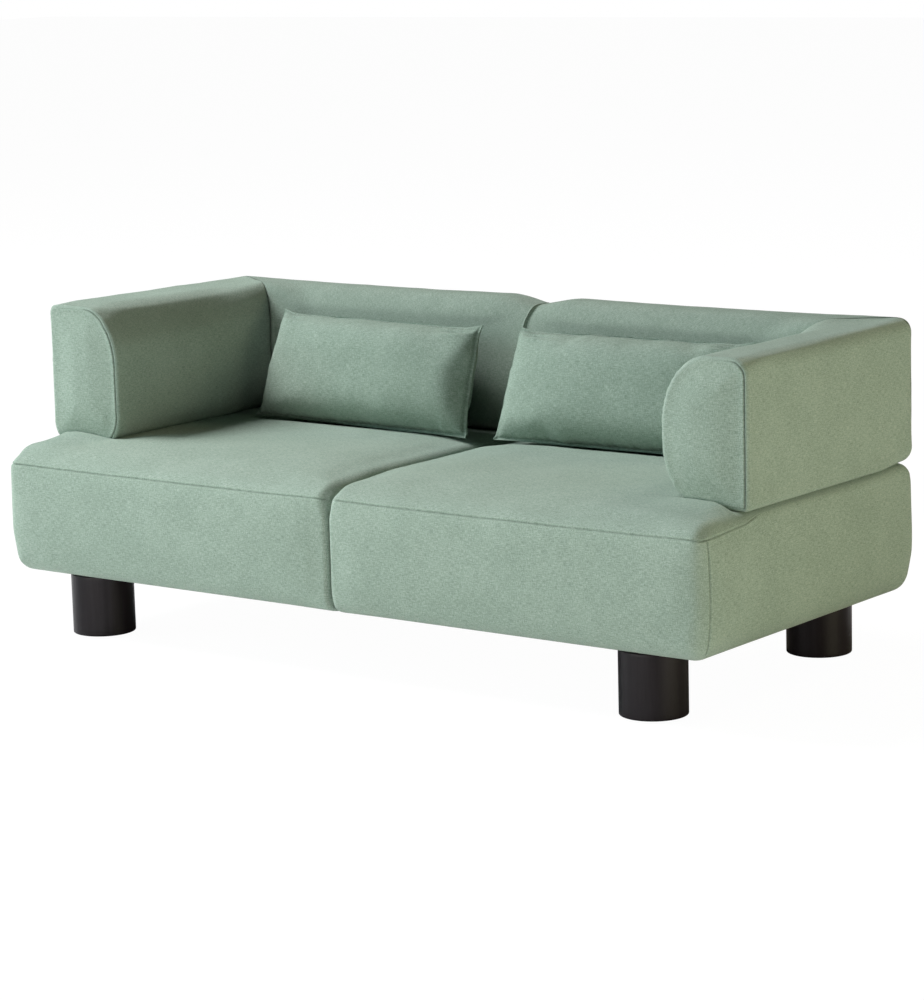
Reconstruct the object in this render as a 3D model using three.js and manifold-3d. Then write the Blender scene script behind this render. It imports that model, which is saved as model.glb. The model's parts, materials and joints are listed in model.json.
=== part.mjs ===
// A two-seat sofa on four round wooden legs.
// An upholstered base in two halves carries two arms and two back sections, which meet at mitred
// corners. Two lumbar cushions lie loose against the back, each with a zip in its bottom seam.
// Millimetres, +Z up. The origin is on the floor under the middle of the sofa, and the front faces -Y.
// Everything that comes in a pair is modelled for the right (+X) side and mirrored for the left.
import * as THREE from "three";
import { mergeVertices } from "three/addons/utils/BufferGeometryUtils.js";
import Module from "manifold-3d";

const wasm = await Module();
wasm.setup();

// ---------------------------------------------------------------- overall sizes
const sofaWidth = 1800;
const sofaDepth = 810;
const underside = 136; // floor to the bottom of the base
const deck = 403; // floor to the top of the base, where the arms and the back stand
const sofaHeight = 697;
const armWidth = 195;
const backDepth = 130;
const armSetback = 157; // the arm's front, behind the base's front
const seatCrown = 15; // the seat's rise above the deck
const crownSlope = 50; // how far in from its edge the seat keeps rising
const crownEdge = { split: 40, front: 62, wall: 6 }; // the rise's edge, from the split, front and walls

// ---------------------------------------------------------------- gaps and walls
const gap = 0.4; // between pieces that touch
const coverWall = 2.5; // fabric with its lining
const foamFit = coverWall + gap; // from the outer surface to the foam's surface
const splitGap = 1; // between the two halves
const joinDepth = 0.01; // how deep two pieces of one glued part reach into each other
const curveSteps = 2; // an elliptical corner is drawn with twice as many facets
const boltSteps = 8;

// ---------------------------------------------------------------- legs and their fixings
const legDiameter = 136;
const legInsetSide = 180; // leg's axis to the sofa's side
const legInsetFront = 103;
const legInsetRear = 88;
const legEdge = 2; // chamfer at the leg's foot
const legSteps = 28;
const glideDiameter = 60;
const glideHeight = 3;
const glideEdge = 1;
const glidePin = { diameter: 4, length: 14 };
const legBolt = { diameter: 10, inLeg: 60, aboveBlock: 6, point: 4 };
const boltClearance = 0.5; // between a bolt and its hole, on the radius
const boltEndGap = 2; // between a bolt's end and the bottom of its hole

// ---------------------------------------------------------------- base frame
const framePadding = 40; // base's outer surface to its timber frame
const boardTopPadding = 9; // deck to the top of the tall boards
const railThickness = 30;
const railHeight = 110;
const blockHeight = 40;
const blockWidth = 180;
const blockDepth = 120;
const hemWidth = 36; // the cover's turned-in edge under the frame
const dustCloth = 1.2;
const strapCount = 3; // webbing straps under each seat
const strapWidth = 70;
const strapThickness = 2;

// ---------------------------------------------------------------- arm and back frames
const frameRail = { width: 60, height: 40, inset: 25 };
const panelThickness = 18;
const panelTopMargin = 55; // sofa's top to the panel's top
const panelFrontMargin = 34; // arm's front to the frame inside it
const mitreMargin = 20; // mitre to the frames that end at it
const windowSize = 140;
const windowMargin = 45; // between two windows
const windowBorder = 25; // above and below a window
const panelFoot = 14; // the panel's foot above the rail's, clear of the cover's round lower edge
const unitBolt = { diameter: 8, headDiameter: 18, headHeight: 6, intoBase: 50 };
const unitBoltEndDistance = 110; // bolt to the end of the rail that it holds

// ---------------------------------------------------------------- lumbar cushions
const cushion = { width: 600, height: 250, thickness: 140, edge: 4 };
const cushionBulge = 78; // how far in from its seam the cushion keeps rising
const cushionLean = 19; // degrees, its top towards the back
const cushionRest = 1; // clearance to the seat and the back
const cushionPlaces = {
  left: { x: -345, turn: -3.3 },
  right: { x: 340, turn: 1.6 },
};
const zipLength = 420;
const zipChannel = { width: 16, depth: 10, behindSeam: 12 };
const zipTape = { width: 5, thickness: 2 };
const zipSlider = { width: 10, length: 14, height: 5 };

// ---------------------------------------------------------------- materials
const paint = (color, roughness, metalness = 0) =>
  new THREE.MeshStandardMaterial({ color, roughness, metalness });
const sageFabric = paint(0x8fa896, 0.95);
const foam = paint(0xe8dfc4, 0.9);
const pine = paint(0xd8b98a, 0.7);
const plywood = paint(0xc9a878, 0.75);
const stainedWood = paint(0x231c20, 0.45);
const steel = paint(0xb8bbbd, 0.35, 1);
const nylon = paint(0xd9d6cf, 0.5);
const webbing = paint(0x4a4038, 0.9);
const blackCloth = paint(0x1a1a1a, 0.95);
const wadding = paint(0xf1efe9, 0.95);
const zipNylon = paint(0x78907f, 0.6);

// ---------------------------------------------------------------- helpers
function solidOf(geometry) {
  const bare = new THREE.BufferGeometry();
  bare.setAttribute("position", geometry.getAttribute("position"));
  if (geometry.index) bare.setIndex(geometry.index);
  const merged = mergeVertices(bare, 1e-3);
  return new wasm.Manifold(
    new wasm.Mesh({
      numProp: 3,
      vertProperties: new Float32Array(merged.attributes.position.array),
      triVerts: new Uint32Array(merged.index.array),
    }),
  );
}

function meshOf(name, shape, material) {
  let geometry = shape;
  if (!shape.isBufferGeometry) {
    const data = shape.getMesh();
    geometry = new THREE.BufferGeometry();
    geometry.setAttribute("position", new THREE.BufferAttribute(data.vertProperties, 3));
    geometry.setIndex(new THREE.BufferAttribute(data.triVerts, 1));
    geometry.computeVertexNormals();
  }
  const mesh = new THREE.Mesh(geometry, material);
  mesh.name = name;
  return mesh;
}

// A rectangle with a quarter ellipse at each corner, [across, up], drawn from its low left corner.
// Two corners that share a side shrink alike where the side is too short for both.
function roundedRectangle(left, right, low, high, corners, inset = 0) {
  const [l, r, b, t] = [left + inset, right - inset, low + inset, high - inset];
  const shares = [0, 1].map((way) => {
    const room = (way === 0 ? right - left : high - low) - 2 * inset;
    const needs = (i, j) => corners[i][way] + corners[j][way];
    const longest = way === 0 ? Math.max(needs(0, 1), needs(2, 3)) : Math.max(needs(0, 3), needs(1, 2));
    return Math.min(1, room / longest);
  });
  const [bl, br, tr, tl] = corners.map((c) =>
    c.map((size, way) => Math.max(size * shares[way] - inset, 0.5)),
  );
  const shape = new THREE.Shape();
  shape.absellipse(l + bl[0], b + bl[1], bl[0], bl[1], Math.PI, 1.5 * Math.PI, false);
  shape.absellipse(r - br[0], b + br[1], br[0], br[1], 1.5 * Math.PI, 2 * Math.PI, false);
  shape.absellipse(r - tr[0], t - tr[1], tr[0], tr[1], 0, 0.5 * Math.PI, false);
  shape.absellipse(l + tl[0], t - tl[1], tl[0], tl[1], 0.5 * Math.PI, Math.PI, false);
  shape.closePath();
  return shape;
}

// Sweeps an outline along a row axis, from one place on it to another. The outline's own
// directions are X and Y for a plan, X and Z for a front view, Y and Z for a side view.
const sweeps = {
  plan: (from) => new THREE.Matrix4().makeTranslation(0, 0, from),
  front: (from, to) => new THREE.Matrix4().set(1, 0, 0, 0, 0, 0, -1, to, 0, 1, 0, 0, 0, 0, 0, 1),
  side: (from) => new THREE.Matrix4().set(0, 0, 1, from, 1, 0, 0, 0, 0, 1, 0, 0, 0, 0, 0, 1),
};
function sweep(shape, view, from, to, steps = curveSteps) {
  const options = { depth: to - from, bevelEnabled: false, curveSegments: steps };
  return new THREE.ExtrudeGeometry(shape, options).applyMatrix4(sweeps[view](from, to));
}

function box(x0, x1, y0, y1, z0, z1) {
  return new THREE.BoxGeometry(x1 - x0, y1 - y0, z1 - z0).translate(
    (x0 + x1) / 2,
    (y0 + y1) / 2,
    (z0 + z1) / 2,
  );
}
const boxSolid = (...limits) => solidOf(box(...limits));

// A round bar or bore along Z.
function rod(diameter, x, y, z0, z1, steps = 12) {
  const bar = new THREE.CylinderGeometry(diameter / 2, diameter / 2, z1 - z0, steps);
  return solidOf(bar.rotateX(Math.PI / 2).translate(x, y, (z0 + z1) / 2));
}

// A turned piece about Z, from its profile of [radius, height] points.
function turned(profile, steps) {
  const points = profile.map(([radius, height]) => new THREE.Vector2(radius, height));
  return new THREE.LatheGeometry(points, steps).rotateX(Math.PI / 2);
}

// ---------------------------------------------------------------- places worked out from the sizes
const side = sofaWidth / 2;
const front = -sofaDepth / 2;
const rear = sofaDepth / 2;
const armInner = side - armWidth;
const armFront = front + armSetback;
const backFront = rear - backDepth;
const frameSide = side - framePadding;
const frameFront = front + framePadding;
const frameRear = rear - framePadding;
const frameBottom = underside + foamFit;
const webTop = frameBottom + railHeight;
const unitFoot = deck + gap; // where the arm and back covers begin
const unitFrameFoot = unitFoot + foamFit;
const frameTop = deck - boardTopPadding; // the tall boards' top

// ---------------------------------------------------------------- legs
const legTop = underside - gap;
const legAxisX = side - legInsetSide;
const legAxes = {
  front: front + legInsetFront,
  rear: rear - legInsetRear,
};

function legGeometry() {
  const radius = legDiameter / 2;
  const foot = glideHeight + gap;
  const bore = legBolt.diameter / 2 + boltClearance;
  const pinBore = glidePin.diameter / 2 + boltClearance;
  const pinTop = glideHeight + glidePin.length + boltEndGap;
  return turned(
    [
      [0, pinTop],
      [pinBore, pinTop],
      [pinBore, foot],
      [radius - legEdge, foot],
      [radius, foot + legEdge],
      [radius, legTop],
      [bore, legTop],
      [bore, legTop - legBolt.inLeg],
      [0, legTop - legBolt.inLeg],
    ],
    legSteps,
  );
}

function glideGeometry() {
  const radius = glideDiameter / 2;
  const pin = glidePin.diameter / 2;
  return turned(
    [
      [0, 0],
      [radius - glideEdge, 0],
      [radius, glideEdge],
      [radius, glideHeight],
      [pin, glideHeight],
      [pin, glideHeight + glidePin.length],
      [0, glideHeight + glidePin.length],
    ],
    legSteps / 2,
  );
}

function legBoltGeometry() {
  const radius = legBolt.diameter / 2;
  const low = legTop - legBolt.inLeg + boltEndGap;
  const high = frameBottom + blockHeight + legBolt.aboveBlock;
  const point = legBolt.point;
  return turned(
    [[0, low], [radius - point / 2, low], [radius, low + point], [radius, high], [0, high]], boltSteps,
  );
}

function legBlock(axisY) {
  // It fills the corner behind its rail, on the side of the leg's axis that faces the frame.
  const atFront = axisY < 0;
  const railFace = atFront ? frameFront + railThickness + gap : frameRear - railThickness - gap;
  const inner = atFront ? railFace + blockDepth : railFace - blockDepth;
  const [y0, y1] = [Math.min(railFace, inner), Math.max(railFace, inner)];
  const [x0, x1] = [legAxisX - blockWidth / 2, legAxisX + blockWidth / 2];
  const hole = legBolt.diameter + 2 * boltClearance;
  const block = boxSolid(x0, x1, y0, y1, frameBottom, frameBottom + blockHeight);
  return block.subtract(rod(hole, legAxisX, axisY, frameBottom - 1, frameBottom + blockHeight + 1));
}

// ---------------------------------------------------------------- the base
const shoulder = [55, 50]; // the base's outer top corner
const roll = [80, 42]; // its rolled front edge
const foot = [40, 40]; // its lower edges
const corner = [30, 30]; // its upright corners
const splitShoulder = [40, 34]; // where the two halves part
const splitFoot = [4, 4];
const tight = [12, 12];

// The outer form of the right half of the base, or a form inside it at a depth of inset.
function baseForm(inset) {
  const inner = splitGap / 2;
  const across = sweep(
    roundedRectangle(inner, side, underside, deck, [splitFoot, foot, shoulder, splitShoulder], inset),
    "front", front, rear,
  );
  const along = sweep(
    roundedRectangle(front, rear, underside, deck, [foot, foot, [26, 26], roll], inset),
    "side", 0, side,
  );
  const plan = sweep(
    roundedRectangle(inner, side, front, rear, [tight, corner, corner, tight], inset),
    "plan", underside, deck,
  );
  return solidOf(across).intersect(solidOf(along)).intersect(solidOf(plan)).add(crownForm(inset));
}

// The seat's soft rise, between the arm, the back and the split.
function crownForm(inset) {
  const [x0, x1] = [crownEdge.split + crownSlope, armInner - crownEdge.wall - crownSlope];
  const [y0, y1] = [front + crownEdge.front + crownSlope, backFront - crownEdge.wall - crownSlope];
  const soft = [crownSlope / 2, crownSlope / 2];
  const flat = roundedRectangle(x0, x1, y0, y1, [soft, soft, soft, soft]);
  const sunk = 10; // its straight part, inside the base
  const pad = new THREE.ExtrudeGeometry(flat, {
    depth: sunk,
    bevelThickness: seatCrown,
    bevelSize: crownSlope,
    bevelSegments: 3,
    curveSegments: 1,
  });
  pad.translate(0, 0, deck - sunk - inset);
  return solidOf(pad);
}

// The places of the two bolts under an arm, and of the two under a back section.
const railMiddle = frameRail.inset + frameRail.width / 2; // outer face to the rail's centre line
const armBoltX = side - framePadding - railThickness / 2;
const backBoltY = frameRear - railThickness / 2;
const armRailEnds = [armFront + panelFrontMargin, rear - backDepth - mitreMargin];
const backRailEnds = [panelFrontMargin, side - armWidth - mitreMargin];
const bolts = [
  ["arm_bolt_front", armBoltX, armRailEnds[0] + unitBoltEndDistance],
  ["arm_bolt_rear", armBoltX, armRailEnds[1] - unitBoltEndDistance],
  ["back_bolt_inner", backRailEnds[0] + unitBoltEndDistance, backBoltY],
  ["back_bolt_outer", backRailEnds[1] - unitBoltEndDistance, backBoltY],
];
const boltHoles = (z0, z1) =>
  bolts
    .map(([, x, y]) => rod(unitBolt.diameter + 2 * boltClearance, x, y, z0, z1, boltSteps))
    .reduce((all, hole) => all.add(hole));

function baseCover() {
  const opening = framePadding + hemWidth;
  const mouth = boxSolid(
    -1, side - opening, front + opening, rear - opening, underside - 1, underside + coverWall + 1,
  );
  // The wall at the split stops short of the timber, which runs through both halves.
  const [y0, y1] = [frameFront - gap, frameRear + gap];
  const inside = underside + coverWall;
  const railWay = boxSolid(-1, hemWidth + 1, y0, y1, inside, webTop + gap);
  const boardWay = boxSolid(-1, hemWidth, y1 - railThickness - 2 * gap, y1, inside, frameTop + gap);
  return baseForm(0)
    .subtract(baseForm(coverWall))
    .subtract(mouth)
    .subtract(railWay)
    .subtract(boardWay)
    .subtract(boltHoles(deck - 10, deck + 1));
}

function baseFoam() {
  const low = boxSolid(
    -1, frameSide + gap, frameFront - gap, frameRear + gap, underside, webTop + strapThickness + 2 * gap,
  );
  const [outer, behind, top] = [frameSide + gap, frameRear + gap, frameTop + gap];
  const besideArm = boxSolid(
    frameSide - railThickness - gap, outer, armFront - gap, behind, underside, top,
  );
  const behindSeat = boxSolid(
    -1, outer, frameRear - railThickness - gap, behind, underside, top,
  );
  return baseForm(foamFit)
    .subtract(low)
    .subtract(besideArm)
    .subtract(behindSeat)
    .subtract(boltHoles(frameTop - 1, deck + 1));
}

function dustCover() {
  const edge = framePadding + hemWidth + gap;
  const z0 = underside + gap;
  const cloth = boxSolid(-side + edge, side - edge, front + edge, rear - edge, z0, z0 + dustCloth);
  const hole = legBolt.diameter + 2 * boltClearance;
  return [-1, 1]
    .flatMap((way) => Object.values(legAxes).map((y) => rod(hole, way * legAxisX, y, 0, deck)))
    .reduce((left, bore) => left.subtract(bore), cloth);
}

// ---------------------------------------------------------------- timber of the base
function sideBoard() {
  // Low under the seat's front, tall where the arm stands on it.
  const outline = new THREE.Shape();
  const [y0, y1] = [frameFront + railThickness + gap, frameRear - railThickness - gap];
  outline.moveTo(y0, frameBottom);
  outline.lineTo(y1, frameBottom);
  outline.lineTo(y1, frameTop);
  outline.lineTo(armFront, frameTop);
  outline.lineTo(armFront, webTop);
  outline.lineTo(y0, webTop);
  outline.closePath();
  const board = solidOf(sweep(outline, "side", frameSide - railThickness, frameSide));
  return board.subtract(boltHoles(frameTop - unitBolt.intoBase, frameTop + 1));
}

function rearBoard() {
  const board = boxSolid(
    -frameSide, frameSide, frameRear - railThickness, frameRear, frameBottom, frameTop,
  );
  const holes = boltHoles(frameTop - unitBolt.intoBase, frameTop + 1);
  return board.subtract(holes).subtract(holes.mirror([1, 0, 0]));
}

// ---------------------------------------------------------------- arms and back sections
// One section serves both: flat outside, a long round inside. Depth runs in from the outer face,
// and the back's depths are the arm's, narrowed to its own thickness, so that the mitres meet.
const outerTop = [30, 30];
const outerFoot = [24, 24];
const innerTop = [110, 140];
const innerFoot = [81, 124];
const endTop = [30, 30]; // the arm's front and the back's inner end
const endFoot = [26, 30];
const rearTop = [44, 44];

const narrowed = backDepth / armWidth;
const narrow = ([across, up]) => [across * narrowed, up];

function mitreHalf(keepArm) {
  // A prism over the plan of one side of the mitre, which runs from the outer corner to the inner.
  const far = 2 * sofaWidth;
  const shape = new THREE.Shape();
  const slope = backDepth / armWidth;
  const shift = keepArm ? gap / 2 : -gap / 2;
  const at = (x) => rear - (side - x) * slope - shift;
  shape.moveTo(-far, at(-far));
  if (keepArm) {
    shape.lineTo(0, -far);
    shape.lineTo(far, -far);
    shape.lineTo(far, at(far));
  } else {
    shape.lineTo(far, at(far));
    shape.lineTo(0, far);
  }
  shape.closePath();
  return solidOf(sweep(shape, "plan", 0, 2 * sofaHeight));
}

function armForm(inset) {
  const section = sweep(
    roundedRectangle(armInner, side, unitFoot, sofaHeight, [innerFoot, outerFoot, outerTop, innerTop], inset),
    "front", armFront, rear,
  );
  const along = sweep(
    roundedRectangle(armFront, rear, unitFoot, sofaHeight, [endFoot, outerFoot, rearTop, endTop], inset),
    "side", 0, side,
  );
  const plan = sweep(
    roundedRectangle(armInner, side, armFront, rear, [[40, 26], [26, 26], corner, tight], inset),
    "plan", unitFoot, sofaHeight,
  );
  return solidOf(section).intersect(solidOf(along)).intersect(solidOf(plan));
}

function backForm(inset) {
  const inner = splitGap / 2;
  const corners = [narrow(innerFoot), outerFoot, rearTop, narrow(innerTop)];
  const section = sweep(
    roundedRectangle(backFront, rear, unitFoot, sofaHeight, corners, inset), "side", inner, side,
  );
  const across = sweep(
    roundedRectangle(inner, side, unitFoot, sofaHeight, [endFoot, outerFoot, outerTop, endTop], inset),
    "front", 0, rear,
  );
  const plan = sweep(
    roundedRectangle(inner, side, backFront, rear, [[26, 26], tight, corner, [26, 26]], inset),
    "plan", unitFoot, sofaHeight,
  );
  return solidOf(section).intersect(solidOf(across)).intersect(solidOf(plan));
}

// A ladder of plywood with a timber rail glued along its foot, drawn on its own length and
// standing with its outer face at depth 0 and its foot at height 0.
function unitFrame(length, thickness, railWidth) {
  const high = sofaHeight - panelTopMargin - unitFrameFoot;
  const windowRoom = high - frameRail.height - 2 * windowBorder;
  const windowHeight = Math.min(windowSize, windowRoom);
  const rail = boxSolid(0, length, 0, railWidth, 0, frameRail.height);
  let panel = boxSolid(0, length, railWidth - joinDepth, railWidth + thickness, panelFoot, high);
  const span = windowSize + windowMargin;
  const count = Math.max(1, Math.floor((length - windowMargin) / span));
  const first = (length - count * span + windowMargin) / 2;
  for (let i = 0; i < count; i++) {
    const x0 = first + i * span;
    const z0 = frameRail.height + (high - frameRail.height - windowHeight) / 2;
    panel = panel.subtract(
      boxSolid(x0, x0 + windowSize, railWidth - 1, railWidth + thickness + 1, z0, z0 + windowHeight),
    );
  }
  return rail.add(panel);
}

// The narrower back has a narrower rail, so that the bolts still run through its middle.
const backRailWidth = frameRail.width * narrowed;
const backRailInset = framePadding + railThickness / 2 - backRailWidth / 2;

// Places a frame that is drawn along X with its depth along Y: the arm's depth runs in along -X.
const armPlace = new THREE.Matrix4().set(
  0, -1, 0, side - frameRail.inset, 1, 0, 0, armRailEnds[0], 0, 0, 1, unitFrameFoot, 0, 0, 0, 1,
);
const backPlace = new THREE.Matrix4().set(
  -1, 0, 0, backRailEnds[1], 0, -1, 0, rear - backRailInset, 0, 0, 1, unitFrameFoot, 0, 0, 0, 1,
);
const placed = (body, matrix) => body.transform(matrix.elements);
const armFrame = placed(
  unitFrame(armRailEnds[1] - armRailEnds[0], panelThickness, frameRail.width), armPlace,
);
const backFrame = placed(
  unitFrame(backRailEnds[1] - backRailEnds[0], panelThickness, backRailWidth), backPlace,
);

// The room that a frame takes in its foam, open below.
function frameRoom(length, railWidth, place) {
  const high = sofaHeight - panelTopMargin - unitFrameFoot;
  const below = unitFrameFoot - unitFoot + 1;
  const rail = boxSolid(-gap, length + gap, -gap, railWidth + gap, -below, frameRail.height + gap);
  const panel = boxSolid(
    -gap, length + gap, railWidth - gap, railWidth + panelThickness + gap, panelFoot - gap, high + gap,
  );
  // Room above the rail for the heads of the bolts.
  const heads = boxSolid(
    -gap, length + gap, railWidth / 2 - unitBolt.headDiameter / 2 - 1, railWidth,
    frameRail.height - 1, frameRail.height + unitBolt.headHeight + 1,
  );
  return placed(rail.add(panel).add(heads), place);
}

const armMitre = mitreHalf(true);
const backMitre = mitreHalf(false);

const unitHem = 22; // the turned-in edge under an arm or back cover

function armCover() {
  const shell = armForm(0).subtract(armForm(coverWall)).intersect(armMitre);
  const mouth = boxSolid(
    side - frameRail.inset - frameRail.width - gap, side - unitHem,
    armFront + unitHem + endFoot[0], backFront,
    unitFoot - 1, unitFoot + coverWall + 1,
  );
  return shell.subtract(mouth);
}

function backCover() {
  const shell = backForm(0).subtract(backForm(coverWall)).intersect(backMitre);
  const mouth = boxSolid(
    splitGap / 2 + unitHem + endFoot[0], armInner,
    rear - backRailInset - backRailWidth - gap, rear - unitHem,
    unitFoot - 1, unitFoot + coverWall + 1,
  );
  return shell.subtract(mouth);
}

function armFoam() {
  const room = frameRoom(armRailEnds[1] - armRailEnds[0], frameRail.width, armPlace);
  return armForm(foamFit).intersect(armMitre).subtract(room);
}

function backFoam() {
  const room = frameRoom(backRailEnds[1] - backRailEnds[0], backRailWidth, backPlace);
  return backForm(foamFit).intersect(backMitre).subtract(room);
}

function unitBoltSolid(x, y) {
  const under = unitFrameFoot + frameRail.height + gap;
  const tip = frameTop - unitBolt.intoBase + boltEndGap;
  const shank = rod(unitBolt.diameter, x, y, tip, under + joinDepth, boltSteps);
  const head = rod(unitBolt.headDiameter, x, y, under, under + unitBolt.headHeight, 6);
  return shank.add(head);
}
const shankHoles = boltHoles(0, unitFrameFoot + frameRail.height + 1);

// ---------------------------------------------------------------- lumbar cushions
// Drawn upright about the middle of its bottom seam: X across, Y front to back, Z up.
function cushionForm(inset) {
  const [w, h] = [cushion.width / 2 - cushionBulge, cushion.height - 2 * cushionBulge];
  const plateau = [20, 20];
  const shape = roundedRectangle(
    -w, w, cushionBulge, cushionBulge + h, [plateau, plateau, plateau, plateau],
  );
  const form = new THREE.ExtrudeGeometry(shape, {
    depth: cushion.edge,
    bevelThickness: cushion.thickness / 2 - cushion.edge / 2 - inset,
    bevelSize: cushionBulge - inset,
    bevelSegments: 4,
    curveSegments: curveSteps / 2,
  });
  return solidOf(form.rotateX(Math.PI / 2).translate(0, cushion.edge / 2, 0));
}

// The recess in the bottom seam that holds the zip, grown on every side by a margin.
function zipRecess(margin) {
  const half = zipLength / 2 + zipSlider.length + margin;
  const middle = zipChannel.behindSeam;
  const reach = zipChannel.width / 2 + margin;
  return boxSolid(-half, half, middle - reach, middle + reach, -20, zipChannel.depth + margin);
}

function cushionCover() {
  const skin = cushionForm(0).subtract(zipRecess(0));
  const inside = cushionForm(coverWall).subtract(zipRecess(coverWall));
  const slit = boxSolid(
    -zipLength / 2, zipLength / 2,
    zipChannel.behindSeam - zipTape.width / 2, zipChannel.behindSeam + zipTape.width / 2,
    0, zipChannel.depth + coverWall + 1,
  );
  return skin.subtract(inside).subtract(slit);
}

const cushionInsert = () => cushionForm(foamFit).subtract(zipRecess(foamFit));

function zipChain() {
  return box(
    -zipLength / 2 + gap, zipLength / 2 - gap,
    zipChannel.behindSeam - zipTape.width / 2 + gap, zipChannel.behindSeam + zipTape.width / 2 - gap,
    zipChannel.depth, zipChannel.depth + zipTape.thickness,
  );
}

function zipSliderGeometry() {
  const x0 = -zipLength / 2 + gap;
  const top = zipChannel.depth - gap;
  return box(
    x0, x0 + zipSlider.length,
    zipChannel.behindSeam - zipSlider.width / 2, zipChannel.behindSeam + zipSlider.width / 2,
    top - zipSlider.height, top,
  );
}

// How far the leaning cushion reaches below and behind the middle of its bottom seam.
const lean = THREE.MathUtils.degToRad(cushionLean);
const halfThick = cushion.thickness / 2 - cushion.edge / 2;
const halfEdge = cushion.edge / 2;
const reachBelow =
  Math.hypot(cushionBulge * Math.cos(lean), halfThick * Math.sin(lean)) -
  cushionBulge * Math.cos(lean) + halfEdge * Math.sin(lean);
const reachBehind =
  (cushion.height - cushionBulge) * Math.sin(lean) +
  Math.hypot(halfThick * Math.cos(lean), cushionBulge * Math.sin(lean)) + halfEdge * Math.cos(lean);

function cushionGroup(which) {
  const { x, turn } = cushionPlaces[which];
  const swing = THREE.MathUtils.degToRad(turn);
  // The end that is turned towards the back is the one that touches it.
  const endReach = (cushion.width / 2 - cushionBulge / 2) * Math.abs(Math.sin(swing));
  const group = new THREE.Group();
  group.rotation.set(-lean, 0, swing, "ZYX");
  group.position.set(
    x,
    backFront - cushionRest - reachBehind - endReach,
    deck + seatCrown + cushionRest + reachBelow,
  );
  group.add(
    meshOf("cushion_cover_" + which, cushionCover(), sageFabric),
    meshOf("cushion_insert_" + which, cushionInsert(), wadding),
    meshOf("zip_chain_" + which, zipChain(), zipNylon),
    meshOf("zip_slider_" + which, zipSliderGeometry(), steel),
  );
  return group;
}

// ---------------------------------------------------------------- one side of the sofa
function halfSofa(which) {
  const half = new THREE.Group();
  const put = (name, shape, material) => half.add(meshOf(name, shape, material));
  for (const [end, axisY] of Object.entries(legAxes)) {
    const label = end + "_" + which;
    const leg = legGeometry().translate(legAxisX, axisY, 0);
    put("leg_" + label, leg, stainedWood);
    put("glide_" + label, glideGeometry().translate(legAxisX, axisY, 0), nylon);
    put("leg_bolt_" + label, legBoltGeometry().translate(legAxisX, axisY, 0), steel);
    put("leg_block_" + label, legBlock(axisY), pine);
  }
  put("side_board_" + which, sideBoard(), plywood);
  const strapRoom = frameSide - railThickness - railThickness / 2;
  for (let i = 0; i < strapCount; i++) {
    const middle = railThickness / 2 + (strapRoom * (i + 0.5)) / strapCount;
    const strap = box(
      middle - strapWidth / 2, middle + strapWidth / 2,
      frameFront + gap, frameRear - railThickness - gap,
      webTop + gap, webTop + gap + strapThickness,
    );
    put("webbing_strap_" + which + "_" + (i + 1), strap, webbing);
  }
  put("base_foam_" + which, baseFoam(), foam);
  put("base_cover_" + which, baseCover(), sageFabric);
  put("arm_cover_" + which, armCover(), sageFabric);
  put("arm_foam_" + which, armFoam(), foam);
  put("arm_frame_" + which, armFrame.subtract(shankHoles), plywood);
  put("back_cover_" + which, backCover(), sageFabric);
  put("back_foam_" + which, backFoam(), foam);
  put("back_frame_" + which, backFrame.subtract(shankHoles), plywood);
  for (const [name, x, y] of bolts) put(name + "_" + which, unitBoltSolid(x, y), steel);
  if (which === "left") half.scale.x = -1;
  return half;
}

// ---------------------------------------------------------------- the sofa
const sofa = new THREE.Group();
sofa.add(halfSofa("left"), halfSofa("right"));
sofa.add(
  meshOf("dust_cover", dustCover(), blackCloth),
  meshOf(
    "front_rail",
    box(-frameSide, frameSide, frameFront, frameFront + railThickness, frameBottom, webTop),
    pine,
  ),
  meshOf("rear_board", rearBoard(), plywood),
  meshOf(
    "centre_rail",
    box(
      -railThickness / 2, railThickness / 2,
      frameFront + railThickness + gap, frameRear - railThickness - gap,
      frameBottom, webTop,
    ),
    pine,
  ),
  cushionGroup("left"),
  cushionGroup("right"),
);

export default sofa;
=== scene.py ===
# %% [markdown]
# # A two-seat sofa on round wooden legs
#
# The sofa is an upholstered base in two halves, two arms and two back sections that meet at mitred
# corners, two loose lumbar cushions, and four turned legs. The frame gives the place and size of every
# part. This script makes the soft pieces, their seams and stitches, and every finish.

# %% Load the frame
import json
import math

import bpy
import numpy as np
from mathutils import Matrix, Vector

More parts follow.
